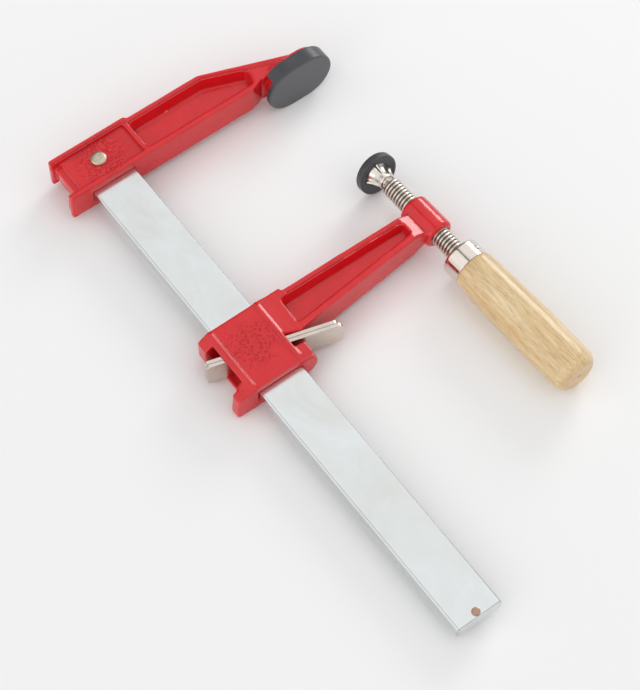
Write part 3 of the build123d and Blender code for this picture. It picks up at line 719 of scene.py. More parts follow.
class MeshTools:
    """Mesh steps that several pieces share."""

    @staticmethod
    def make_object(name: str, mesh: bpy.types.Mesh) -> bpy.types.Object:
        """Link a mesh to the scene as a smooth-shaded object.

        Args:
            name: Name of the object.
            mesh: Its mesh.

        Returns:
            The object.
        """
        mesh.name = name
        piece = bpy.data.objects.new(name, mesh)
        bpy.context.scene.collection.objects.link(piece)
        mesh.polygons.foreach_set("use_smooth", [True] * len(mesh.polygons))
        return piece

    @staticmethod
    def change(mesh: bpy.types.Mesh, steps: Callable[[bmesh.types.BMesh], None]) -> None:
        """Run steps of bmesh code on a mesh.

        Args:
            mesh: Mesh to change.
            steps: What is done to it.
        """
        shape = bmesh.new()
        shape.from_mesh(mesh)
        steps(shape)
        shape.to_mesh(mesh)
        shape.free()

    @classmethod
    def welded_copy(cls, node: str) -> bpy.types.Mesh:
        """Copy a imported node's mesh and join its split vertices.

        Args:
            node: Name of the node.

        Returns:
            The copy.
        """
        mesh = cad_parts[node].data.copy()
        mesh.materials.clear()
        cls.change(mesh, lambda shape: bmesh.ops.remove_doubles(shape, verts=shape.verts, dist=1e-6))
        return mesh

    @staticmethod
    def apply_modifiers(piece: bpy.types.Object) -> bpy.types.Object:
        """Replace an object's mesh with its evaluated one and drop the modifiers.

        Args:
            piece: Object to change.

        Returns:
            The same object.
        """
        graph = bpy.context.evaluated_depsgraph_get()
        old = piece.data
        piece.data = bpy.data.meshes.new_from_object(piece.evaluated_get(graph))
        piece.modifiers.clear()
        bpy.data.meshes.remove(old)
        return piece

    @classmethod
    def even_normals(cls, piece: bpy.types.Object) -> bpy.types.Object:
        """Weigh a piece's normals by the area of its faces, so that flats look flat.

        Args:
            piece: Object to change.

        Returns:
            The same object.
        """
        modifier = piece.modifiers.new("even", "WEIGHTED_NORMAL")
        modifier.keep_sharp = True
        return cls.apply_modifiers(piece)

    @classmethod
    def softened(cls, name: str, node: str, voxel: float, passes: int) -> bpy.types.Object:
        """Rebuild a node as one even skin with rounded edges, as casting or moulding leaves it.

        Args:
            name: Name of the new piece.
            node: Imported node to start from.
            voxel: Cell size of the rebuilt skin.
            passes: Smoothing passes, which set how round the edges get.

        Returns:
            The new piece.
        """
        piece = cls.make_object(name, cls.welded_copy(node))
        remesh = piece.modifiers.new("skin", "REMESH")
        remesh.mode = "VOXEL"
        remesh.voxel_size = voxel
        remesh.use_smooth_shade = True
        smooth = piece.modifiers.new("round", "SMOOTH")
        smooth.factor = 0.5
        smooth.iterations = passes
        return cls.apply_modifiers(piece)

    @classmethod
    def bevelled(cls, name: str, node: str, width: float, segments: int = 3) -> bpy.types.Object:
        """Copy a node with its flat faces joined and its sharp edges rounded.

        Args:
            name: Name of the new piece.
            node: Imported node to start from.
            width: Width of the rounding.
            segments: Faces across it.

        Returns:
            The new piece.
        """

        def round_edges(shape: bmesh.types.BMesh) -> None:
            """Join the flat faces and bevel the sharp edges.

            Args:
                shape: The mesh to change.
            """
            flat = radians(0.5)
            steep = radians(35)
            bmesh.ops.dissolve_limit(
                shape, angle_limit=flat, verts=shape.verts, edges=shape.edges, use_dissolve_boundaries=False
            )
            sharp = [edge for edge in shape.edges if edge.is_manifold and edge.calc_face_angle() > steep]
            options = {"segments": segments, "profile": 0.5, "affect": "EDGES", "clamp_overlap": True}
            bmesh.ops.bevel(shape, geom=sharp, offset=width, **options)

        mesh = cls.welded_copy(node)
        cls.change(mesh, round_edges)
        return cls.even_normals(cls.make_object(name, mesh))

    @staticmethod
    def push(piece: bpy.types.Object, amount: Callable[[Vector, Vector], float]) -> None:
        """Move each vertex along its normal.

        Args:
            piece: Object to change.
            amount: Gives the distance from a vertex's place and normal.
        """
        mesh = piece.data
        moved = []
        for vertex in mesh.vertices:
            here = vertex.co.copy()
            out = vertex.normal.copy()
            moved.extend(here + out * amount(here, out))
        mesh.vertices.foreach_set("co", moved)
        mesh.update()

    @staticmethod
    def keep_inside(piece: bpy.types.Object) -> None:
        """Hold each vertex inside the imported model's box.

        Args:
            piece: Object to change.
        """
        low, high = cad_box
        mesh = piece.data
        places = np.empty(len(mesh.vertices) * 3)
        mesh.vertices.foreach_get("co", places)
        held = np.clip(places.reshape(-1, 3), np.array(low), np.array(high))
        mesh.vertices.foreach_set("co", held.ravel())
        mesh.update()

    @classmethod
    def ringed(cls, name: str, rings: Sequence[Sequence[Vector]], looped: bool) -> bpy.types.Object:
        """Join rings of points into one closed skin.

        Args:
            name: Name of the new piece.
            rings: The rings, all with as many points.
            looped: Whether the last ring joins the first. If not, both get a flat cap.

        Returns:
            The new piece.
        """
        count = len(rings)
        around = len(rings[0])
        faces: list[tuple[int, ...]] = []
        for ring in range(count if looped else count - 1):
            here = ring * around
            there = (ring + 1) % count * around
            for index in range(around):
                after = (index + 1) % around
                faces.append((here + index, here + after, there + after, there + index))
        if not looped:
            faces.append(tuple(reversed(range(around))))
            faces.append(tuple(range((count - 1) * around, count * around)))
        mesh = bpy.data.meshes.new(name)
        mesh.from_pydata([point for ring in rings for point in ring], [], faces)
        mesh.validate()
        cls.change(mesh, lambda shape: bmesh.ops.recalc_face_normals(shape, faces=shape.faces))
        return cls.make_object(name, mesh)

    @classmethod
    def turned(
        cls,
        name: str,
        place: Placer,
        profile: Profile,
        around: int,
        shape: Shaper | None = None,
        looped: bool = False,
    ) -> bpy.types.Object:
        """Turn a profile about an axis, as a closed skin.

        Args:
            name: Name of the new piece.
            place: Gives a point from its distance along the axis, across and up.
            profile: Distance along the axis and radius of each ring.
            around: Points round each ring.
            shape: Changes a radius, given the distance, the angle and the plain radius.
            looped: Whether the profile closes on itself.

        Returns:
            The new piece.
        """
        rings = []
        for s, radius in profile:
            ring = []
            for index in range(around):
                angle = 2 * pi * index / around
                r = radius if shape is None else shape(s, angle, radius)
                ring.append(place(s, r * cos(angle), r * sin(angle)))
            rings.append(ring)
        return cls.ringed(name, rings, looped)


def rounded(points: Iterable[Triple], steps: int = 5) -> Profile:
    """Round the corners of an open profile.

    Args:
        points: Distance, radius and corner rounding of each corner.
        steps: Points along each rounded corner.

    Returns:
        The profile with its corners rounded.
    """
    corners = list(points)
    result: Profile = []
    for index, (s, r, bend) in enumerate(corners):
        here = Vector((s, r))
        if bend <= 0 or index in (0, len(corners) - 1):
            result.append((s, r))
            continue
        before = Vector(corners[index - 1][:2]) - here
        after = Vector(corners[index + 1][:2]) - here
        reach = min(bend, before.length * 0.49, after.length * 0.49)
        start = here + before.normalized() * reach
        end = here + after.normalized() * reach
        for step in range(steps + 1):
            t = step / steps
            point = start * (1 - t) ** 2 + here * 2 * t * (1 - t) + end * t**2
            result.append((point.x, point.y))
    return result


@dataclass
class Castings:
    """The two enamelled castings.

    Attributes:
        swell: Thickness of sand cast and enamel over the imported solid.
        slow_wave: Waves per metre and share of the wave height of the long waves.
        quick_wave: The same for the short waves.
        upright: Least share of Z in a normal that faces up or down.
        draft_slope: Slope of a back flange's top.
        parting: Height, place along Z and half width of the parting line.
        head_deck_z: Height above which the sliding head's panel lies.
        pits_reach: How far the deep pits on the head reach, along X and Y.
    """

    palette: Palette
    voxel: float = 0.55 * MM
    passes: int = 22
    swell: float = 0.22 * MM
    wave: float = 0.2 * MM
    slow_wave: Pair = (70.0, 0.5)
    quick_wave: Pair = (260.0, 0.3)
    upright: float = 0.6
    draft_slope: float = 0.45
    flange: float = 5.5 * MM
    flange_rim: float = 0.7 * MM
    fixed_flange_z: float = 10.5 * MM
    sliding_flange_z: float = 9.8 * MM
    sliding_draft: Pair = (-116.0 * MM, -19.0 * MM)
    parting: Triple = (0.16 * MM, -0.4 * MM, 0.55 * MM)
    head_deck_z: float = 11.5 * MM
    head_edge_y: float = -130.0 * MM
    head_ends: Pair = (136.0 * MM, 187.0 * MM)
    ridges: Pair = (-176.6 * MM, -138.4 * MM)
    ridge_height: float = 1.0 * MM
    ridge_rise: float = 0.5 * MM
    ridge_fall: float = 2.2 * MM
    pits_place: Pair = (158.0 * MM, -165.0 * MM)
    pits_reach: Pair = (14.0 * MM, 11.0 * MM)
    pit_scale: float = 420.0
    pit_depth: float = 1.0 * MM
    lump_scale: float = 300.0
    lump_height: float = 0.14 * MM

    def sand_wave(self, place: Vector) -> float:
        """Gentle unevenness of a sand casting.

        Args:
            place: Where on the casting.

        Returns:
            How far the surface stands out there, in metres.
        """
        slow_scale, slow_share = self.slow_wave
        quick_scale, quick_share = self.quick_wave
        slow = noise.noise(place * slow_scale)
        quick = noise.noise(place * quick_scale + Vector((7.0, 3.0, 5.0)))
        return self.swell + self.wave * (slow_share * slow + quick_share * quick)

    def draft(self, inward: float) -> float:
        """Drop of a back flange's top, which slopes inwards from its outer edge."""
        return self.draft_slope * max(0.0, inward - self.flange_rim) if inward < self.flange else 0.0

    @staticmethod
    def fixed_back(y: float) -> float:
        """Find the fixed jaw's back edge.

        Args:
            y: Place along Y.

        Returns:
            Where the edge is along X.
        """
        if y < -124.0 * MM:
            return -45.0 * MM
        if y < -61.0 * MM:
            return -42.6 * MM
        return -42.6 * MM + 24.8 / 65.1 * (y + 61.0 * MM)

    @staticmethod
    def sliding_back(y: float) -> float:
        """Where the sliding arm's back edge is along X, at a place along Y."""
        return 137.0 * MM + (y + 118.0 * MM) / 102.0

    def fixed_relief(self, place: Vector, out: Vector) -> float:
        """Relief of the fixed jaw: waves, the sloping back flange and a parting line.

        Args:
            place: Where the vertex is.
            out: Its normal.

        Returns:
            How far it moves outwards.
        """
        height = self.sand_wave(place)
        if abs(out.z) > self.upright and abs(place.z) > self.fixed_flange_z:
            height -= self.draft(place.x - self.fixed_back(place.y))
        line_height, line_z, half_width = self.parting
        if out.x > 0.8 and place.x > -14 * MM:
            height += line_height * exp(-(((place.z - line_z) / half_width) ** 2))
        return height

    def sliding_relief(self, place: Vector, out: Vector) -> float:
        """Relief of the sliding jaw: waves, the sand-pitted panel on its head and the ridges beside it.

        Args:
            place: Where the vertex is.
            out: Its normal.

        Returns:
            How far it moves outwards.
        """
        height = self.sand_wave(place)
        low_y, high_y = self.sliding_draft
        on_flange = abs(out.z) > self.upright and abs(place.z) > self.sliding_flange_z
        if on_flange and low_y < place.y < high_y:
            height -= self.draft(place.x - self.sliding_back(place.y))
        if abs(out.z) < self.upright or abs(place.z) < self.head_deck_z or place.y > self.head_edge_y:
            return height
        if self.ridges[0] < place.y < self.ridges[1]:
            pits = noise.noise(place * self.pit_scale)
            across = (place.x - self.pits_place[0]) / self.pits_reach[0]
            along = (place.y - self.pits_place[1]) / self.pits_reach[1]
            patch = exp(-(across**2 + along**2))
            height -= self.pit_depth * max(0.0, pits - 0.16) * (0.1 + patch)
            height += self.lump_height * patch * noise.noise(place * self.lump_scale)
        for ridge in self.ridges:
            past = place.y - ridge
            bead = max(0.0, min(1.0 + past / self.ridge_rise, 1.0 - past / self.ridge_fall))
            inside = min(place.x - self.head_ends[0], self.head_ends[1] - place.x) / (2.0 * MM)
            height += self.ridge_height * bead * max(0.0, min(1.0, inside))
        return height

    def build(self) -> list[bpy.types.Object]:
        """Build both castings and return them."""
        made = []
        for node, body, relief in (
            ("fixed_jaw", Body.FRAME, self.fixed_relief),
            ("sliding_jaw", Body.SLIDER, self.sliding_relief),
        ):
            casting = MeshTools.softened(f"{node}_casting", node, self.voxel, self.passes)
            MeshTools.push(casting, relief)
            MeshTools.keep_inside(casting)
            made.append(self.palette.fit(casting, node, body, Slot.ENAMEL))
        return made


@dataclass
class BarAndPlates:
    """The bar, its stop pin, the rivet, the clutch plates and their spring.

    Attributes:
        bar_round: Rounding of the bar's long edges.
        pin_skin: Cell size and smoothing passes of the pin's skin.
        rivet_skin: The same for the rivet.
        head_dome: How far the rim of a rivet head lies under its middle.
        head_marks: Depth of the hammer marks.
        spring_keep: Share of the spring's length that is left when the plates are released. Not used.
    """

    palette: Palette
    bar_ends: Pair = (-38.5 * MM, 402.0 * MM)
    bar_middle: float = -156.0 * MM
    bar_size: Pair = (35.0 * MM, 9.5 * MM)
    bar_round: float = 0.9 * MM
    plate_edge: float = 0.45 * MM
    pin_skin: tuple[float, int] = (0.22 * MM, 16)
    rivet_skin: tuple[float, int] = (0.3 * MM, 8)
    rivet_place: Pair = (-28.0 * MM, -156.0 * MM)
    rivet_head: float = 5.7 * MM
    head_dome: float = 0.7 * MM
    head_marks: float = 0.2 * MM
    spring_seat: Triple = (184.2 * MM, -163.0 * MM, 8.0 * MM)
    spring_keep: float = 0.59

    def bar_ring(self, x: float, shrink: float) -> list[Vector]:
        """Outline of the bar's rounded section.

        Args:
            x: Where the section is.
            shrink: How far it is drawn in.

        Returns:
            The points round it.
        """
        half_y = self.bar_size[0] / 2 - shrink
        half_z = self.bar_size[1] / 2 - shrink
        bend = max(self.bar_round - shrink * 0.5, 0.4 * MM)
        ring = []
        for side_y, side_z, start in ((1, 1, 0.0), (-1, 1, 0.5), (-1, -1, 1.0), (1, -1, 1.5)):
            for index in range(7):
                angle = (start + index / 12) * pi
                y = self.bar_middle + side_y * (half_y - bend) + bend * cos(angle)
                ring.append(Vector((x, y, side_z * (half_z - bend) + bend * sin(angle))))
        return ring

    def build_bar(self) -> bpy.types.Object:
        """Build the drawn bar with its sheared ends and return it."""
        start, end = self.bar_ends
        parts = 60
        stations = [(start, 0.9 * MM), (start + 0.15 * MM, 0.35 * MM), (start + 0.7 * MM, 0.0)]
        stations += [(start + (end - start) * i / parts, 0.0) for i in range(1, parts)]
        stations += [(end - 0.7 * MM, 0.0), (end - 0.2 * MM, 0.25 * MM), (end, 0.6 * MM)]
        rings = [self.bar_ring(x, shrink) for x, shrink in stations]
        return MeshTools.even_normals(MeshTools.ringed("drawn_bar", rings, looped=False))

    def build_spring(self) -> bpy.types.Object:
        """Build the clutch spring, which the plates press together as they are released, and return it."""
        spring = MeshTools.make_object("coiled_spring", MeshTools.welded_copy("clutch_spring"))
        self.palette.fit(spring, "clutch_spring", Body.SLIDER, Slot.SPRING)
        seat = self.spring_seat
        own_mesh(spring)
        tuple(seat)
        return spring

    def rivet_dents(self, place: Vector, out: Vector) -> float:
        """Small hammer marks and the rounding of the rivet's heads.

        Args:
            place: Where the vertex is.
            out: Its normal.

        Returns:
            How far it moves outwards.
        """
        if abs(place.z) < 8.0 * MM or abs(out.z) < 0.5:
            return 0.0
        middle_x, middle_y = self.rivet_place
        away = Vector((place.x - middle_x, place.y - middle_y)).length / self.rivet_head
        mark = max(0.0, noise.noise(place * 420.0 + Vector((3.0, 1.0, 4.0))) - 0.05)
        return -self.head_dome * away**4 - self.head_marks * mark

    def build(self) -> list[bpy.types.Object]:
        """Build the pieces and return them."""
        made = [self.palette.fit(self.build_bar(), "bar", Body.FRAME, Slot.ZINC)]
        for node in ("clutch_plate_front", "clutch_plate_rear"):
            plate = MeshTools.bevelled(f"{node}_sheared", node, self.plate_edge)
            made.append(self.palette.fit(plate, node, Body.CLUTCH, Slot.PLATE))
        pin = MeshTools.softened("domed_pin", "bar_stop_pin", *self.pin_skin)
        made.append(self.palette.fit(pin, "bar_stop_pin", Body.FRAME, Slot.COPPER))
        rivet = MeshTools.softened("hammered_rivet", "fixed_jaw_rivet", *self.rivet_skin)
        MeshTools.push(rivet, self.rivet_dents)
        made.append(self.palette.fit(rivet, "fixed_jaw_rivet", Body.FRAME, Slot.RIVET))
        made.append(self.build_spring())
        return made


@dataclass
class Spindle:
    """The threaded spindle with its ferrule and wooden handle.

    Distances along it are counted from the centre of the sliding jaw's boss.

    Attributes:
        tang_length: Length of the hidden tang past the thread.
        bore: Radius of the ferrule's and the handle's hole.
        dimple_back: How far the ferrule's dimple lies before its rear edge.
        dimple_rim: Height, radius and width of the raised rim round it.
        handle_wave: Height of the unevenness that sanding leaves, and what it takes off.
        handle_radii: Radius of the handle at the ferrule, at its thickest and at the start of its round end.
        spigot: Radius of the wood inside the ferrule.
    """

    palette: Palette
    boss: Pair = (147.4 * MM, -0.15 * MM)
    lean: float = radians(2.66)
    major: float = 7.25 * MM
    minor: float = 6.05 * MM
    pitch: float = 2.7 * MM
    thread_start: float = -39.6 * MM
    thread_end: float = 33.6 * MM
    tang_radius: float = 4.9 * MM
    tang_length: float = 69.5 * MM
    bore: float = 5.2 * MM
    ferrule_length: float = 15.2 * MM
    ferrule_radius: float = 14.7 * MM
    ferrule_wall: float = 1.4 * MM
    dimple_back: float = 6.0 * MM
    dimple_angle: float = radians(57.0)
    dimple_depth: float = 1.3 * MM
    dimple_radius: float = 1.4 * MM
    dimple_rim: Triple = (0.12 * MM, 2.1 * MM, 0.7 * MM)
    handle_end: float = 157.8 * MM
    handle_radii: Triple = (15.3 * MM, 17.0 * MM, 16.6 * MM)
    handle_full: float = 112.0 * MM
    handle_round: float = 8.0 * MM
    spigot: float = 13.1 * MM
    handle_wave: Pair = (0.07 * MM, 0.05 * MM)

    def point(self, s: float, across: float = 0.0, up: float = 0.0) -> Vector:
        """Find a point by the spindle's own axes.

        Args:
            s: Distance along the spindle.
            across: Distance from its axis, towards +Y.
            up: Distance from its axis, towards +Z.

        Returns:
            The point.
        """
        x = self.boss[0] + s * cos(self.lean) - across * sin(self.lean)
        y = self.boss[1] + s * sin(self.lean) + across * cos(self.lean)
        return Vector((x, y, up))

    def thread_radius(self, s: float, angle: float, radius: float) -> float:
        """Radius of the rolled thread.

        Args:
            s: Distance along the spindle.
            angle: Angle about it, from +Y towards +Z.
            radius: Plain radius, which ends below the root are kept at.

        Returns:
            The radius there.
        """
        if radius < self.minor * 0.99:
            return radius
        phase = (s / self.pitch - angle / (2 * pi)) % 1.0
        ridge = 0.5 + 0.5 * cos(2 * pi * phase)
        ridge = max(0.0, min(1.0, (ridge - 0.2) / 0.5))
        ridge = ridge * ridge * (3 - 2 * ridge)
        fade = min(1.0, max(0.0, (s - self.thread_start) / (0.7 * MM)))
        return self.minor + (self.major - self.minor) * ridge * fade

    def build_screw(self) -> bpy.types.Object:
        """Build the threaded rod with its hidden tang and return it."""
        rings_a_turn = 16
        first = self.thread_start + 0.3 * MM
        length = self.thread_end - self.thread_start - 0.4 * MM
        count = round((self.thread_end - self.thread_start) / (self.pitch / rings_a_turn))
        tang_end = self.thread_end + self.tang_length
        tip = 0.3 * MM
        profile = [(self.thread_start, tip), (self.thread_start, self.minor * 0.9)]
        profile += [(first + length * i / count, self.minor) for i in range(count + 1)]
        profile += [(self.thread_end, self.tang_radius), (tang_end, self.tang_radius)]
        profile += [(tang_end + 0.1 * MM, tip)]
        return MeshTools.turned("rolled_thread", self.point, profile, 72, self.thread_radius)

    def build_ferrule(self) -> bpy.types.Object:
        """Build the drawn ferrule with its punched dimple and return it."""
        start = self.thread_end
        end = start + self.ferrule_length
        outer = self.ferrule_radius
        wall = self.ferrule_wall
        corners = [(start, self.bore, 0), (start, outer, 3.4 * MM)]
        corners += [(end, outer, 0.5 * MM), (end, outer - wall, 0)]
        outside = rounded(corners, 8)
        profile: Profile = []
        for (s, r), (next_s, next_r) in zip(outside, outside[1:]):
            parts = max(1, int(abs(next_s - s) / (0.5 * MM)))
            ds = next_s - s
            dr = next_r - r
            profile += [(s + ds * i / parts, r + dr * i / parts) for i in range(parts)]
        profile += [outside[-1], (start + wall, outer - wall), (start + wall, self.bore)]
        rim_height, rim_radius, rim_width = self.dimple_rim

        def dimpled(s: float, angle: float, radius: float) -> float:
            """Take the punched dimple out of a radius.

            Args:
                s: Distance along the spindle.
                angle: Angle about it.
                radius: Plain radius.

            Returns:
                The radius there.
            """
            if radius < outer - 0.6 * MM:
                return radius
            turn = (angle - self.dimple_angle + pi) % (2 * pi) - pi
            away = sqrt((s - (end - self.dimple_back)) ** 2 + (turn * outer) ** 2)
            dent = self.dimple_depth * exp(-((away / self.dimple_radius) ** 4))
            rim = rim_height * exp(-(((away - rim_radius) / rim_width) ** 2))
            return radius - dent + rim

        return MeshTools.turned("drawn_ferrule", self.point, profile, 180, dimpled, looped=True)

    def build_handle(self) -> bpy.types.Object:
        """Build the turned handle with its centre hole and return it."""
        nose = self.thread_end + self.ferrule_length
        first, full, last = self.handle_radii
        front = nose - 13.0 * MM
        shoulder = nose + 1.1 * MM
        end = self.handle_end
        body_end = end - self.handle_round
        profile = [(front, self.bore), (front, 11.0 * MM), (front + 2.5 * MM, self.spigot)]
        profile += [(nose, self.spigot), (nose + 0.05 * MM, first - 1.1 * MM)]
        profile += [(nose + 0.35 * MM, first - 0.4 * MM), (shoulder, first)]
        steps = 40
        for index in range(1, steps + 1):
            s = shoulder + (body_end - shoulder) * index / steps
            if s < self.handle_full:
                t = (s - nose) / (self.handle_full - nose)
                radius = first + (full - first) * (1 - (1 - t) ** 1.7)
            else:
                t = (s - self.handle_full) / (body_end - self.handle_full)
                radius = full + (last + 0.05 * MM - full) * t**1.6
            profile.append((s, radius))
        round_steps = 12
        for index in range(1, round_steps + 1):
            turn = index / round_steps * pi / 2
            radius = last - 6.2 * MM * (1 - cos(turn)) ** 0.9
            profile.append((body_end + self.handle_round * sin(turn), radius))
        profile += [(end, 6.0 * MM), (end - 0.15 * MM, 2.2 * MM), (end - 0.3 * MM, 1.1 * MM)]
        profile += [(end - 4.5 * MM, 0.9 * MM), (end - 5.0 * MM, 0.1 * MM)]
        return MeshTools.turned("turned_handle", self.point, profile, 96, self.worn_radius)

    def worn_radius(self, s: float, angle: float, radius: float) -> float:
        """Radius of the handle with the slight unevenness that sanding leaves.

        Args:
            s: Distance along the spindle.
            angle: Angle about it.
            radius: Plain radius. The hidden spigot and the hole are kept at it.

        Returns:
            The radius there.
        """
        if radius < 12.0 * MM:
            return radius
        place = Vector((s * 30.0, cos(angle) * 1.5, sin(angle) * 1.5))
        height, loss = self.handle_wave
        return radius + height * noise.noise(place) - loss

    def build(self) -> list[bpy.types.Object]:
        """Build the spindle's pieces and return them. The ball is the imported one."""
        fit = self.palette.fit
        return [
            fit(self.build_screw(), "spindle_screw", Body.SPINDLE, Slot.SPINDLE),
            fit(self.build_ferrule(), "ferrule", Body.SPINDLE, Slot.FERRULE),
            fit(self.build_handle(), "handle", Body.SPINDLE, Slot.WOOD),
            self.palette.dress(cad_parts["spindle_ball"], Slot.SPINDLE),
        ]


@dataclass
class Pads:
    """The two plastic pad caps and the pressed steel shell.

    Distances on the swivel pad are counted backwards from the centre of its ball.

    Attributes:
        tilt: How far the swivel pad hangs over.
        ball_s: Where the ball is, along the spindle.
        disc_inset: How much smaller the shell's disc is than the cap.
        cone_wall: Thickness of the shell's neck.
        pad_skin: Cell size and smoothing passes of the fixed pad's skin.
        fold_width: Half width of a fold, as a share of the way to the next.
    """

    palette: Palette
    spindle: Spindle
    tilt: float = radians(12.6)
    ball_s: float = -44.4 * MM
    face_distance: float = 13.4 * MM
    cap_radius: float = 16.0 * MM
    rim_depth: float = 6.0 * MM
    face_depth: float = 2.6 * MM
    disc_depth: float = 1.8 * MM
    disc_inset: float = 2.4 * MM
    cone_radius: float = 8.8 * MM
    cone_wall: float = 1.2 * MM
    socket: float = 5.3 * MM
    mouth_radius: float = 4.6 * MM
    flutes: int = 4
    pad_skin: tuple[float, int] = (0.4 * MM, 2)
    fold_width: float = 0.085

    def placer(self) -> Placer:
        """Return a function that gives a point from its distance behind the ball, across and up."""
        centre = self.spindle.point(self.ball_s)
        along = self.spindle.point(1.0) - self.spindle.point(0.0)
        side = Vector((-along.y, along.x, 0.0))
        back = Vector((along.x * cos(self.tilt), along.y * cos(self.tilt), sin(self.tilt)))
        up = back.cross(side)

        def place(behind: float, across: float, above: float) -> Vector:
            """Point on the tilted pad."""
            return centre + back * behind + side * across + up * above

        return place

    def build_shell(self) -> bpy.types.Object:
        """Build the pressed shell with its folded flutes and return it."""
        disc_front = -self.face_distance + self.face_depth
        disc_back = disc_front + self.disc_depth
        disc_radius = self.cap_radius - self.disc_inset
        mouth = sqrt(self.socket**2 - self.mouth_radius**2)
        profile = [(disc_front, 0.4 * MM), (disc_front, disc_radius), (disc_back, disc_radius)]
        rows = 16
        neck = self.mouth_radius + self.cone_wall
        for index in range(rows + 1):
            t = index / rows
            radius = self.cone_radius * (1 - t) + neck * t - 0.9 * MM * sin(pi * t) * (1 - t)
            profile.append((disc_back + (mouth - disc_back) * t, radius))
        opening = atan2(self.mouth_radius, mouth)
        socket_steps = 8
        for index in range(socket_steps + 1):
            angle = opening + (pi - 0.12 - opening) * index / socket_steps
            profile.append((self.socket * cos(angle), self.socket * sin(angle)))

        def folded(behind: float, angle: float, radius: float) -> float:
            """Add the folds that the press leaves down the cone.

            Args:
                behind: Distance behind the ball.
                angle: Angle about the pad's axis.
                radius: Plain radius.

            Returns:
                The radius there.
            """
            if behind <= disc_back or radius < self.socket + 0.4 * MM:
                return radius
            t = (behind - disc_back) / (mouth - disc_back)
            turn = (angle * self.flutes / (2 * pi) + 0.5) % 1.0 - 0.5
            fold = exp(-((turn / self.fold_width) ** 2))
            reach = (disc_radius - 1.6 * MM - self.cone_radius) * (1 - t) + 0.8 * MM * t
            raised = reach * fold * (1 - t) ** 0.35
            return radius + raised - 0.5 * MM * (1 - fold) * sin(pi * min(1.0, t * 1.1))

        return MeshTools.turned("pressed_shell", self.placer(), profile, 128, folded, looped=True)

    def build_cap(self) -> bpy.types.Object:
        """Build the round plastic cap and return it."""
        face = -self.face_distance
        rim = face + self.rim_depth
        disc_front = face + self.face_depth
        disc_back = disc_front + self.disc_depth
        seat = self.cap_radius - self.disc_inset
        gap = 0.1 * MM
        corners = [
            (face, 0.3 * MM, 0),
            (face, self.cap_radius, 1.3 * MM),
            (rim, self.cap_radius, 0.9 * MM),
            (rim, seat + 0.4 * MM, 0.5 * MM),
            (disc_back + 0.7 * MM, seat - 1.2 * MM, 0.5 * MM),
            (disc_back + 0.5 * MM, seat - 4.6 * MM, 0.1 * MM),
            (disc_back + gap, seat - 4.6 * MM, 0),
            (disc_back + gap, seat + gap, 0),
            (disc_front, seat + gap, 0),
            (disc_front, 0.3 * MM, 0),
        ]
        return MeshTools.turned("swivel_cap_moulding", self.placer(), rounded(corners, 4), 112, looped=True)

    def build(self) -> list[bpy.types.Object]:
        """Build the pads and return them."""
        fit = self.palette.fit
        moulding = MeshTools.softened("fixed_pad_moulding", "fixed_jaw_pad", *self.pad_skin)
        return [
            fit(moulding, "fixed_jaw_pad", Body.FRAME, Slot.PLASTIC),
            fit(self.build_shell(), "swivel_pad_shell", Body.PAD, Slot.SHELL),
            fit(self.build_cap(), "swivel_pad_cap", Body.PAD, Slot.PLASTIC),
        ]


@dataclass(frozen=True)
class SoftBox:
    """One lamp of the studio.

    Attributes:
        name: Name of the lamp.
        towards: Direction to it.
        size: Its width and height.
        radiance: How bright its face looks, where 1 is white.
    """

    name: str
    towards: Triple
    size: Pair
    radiance: float


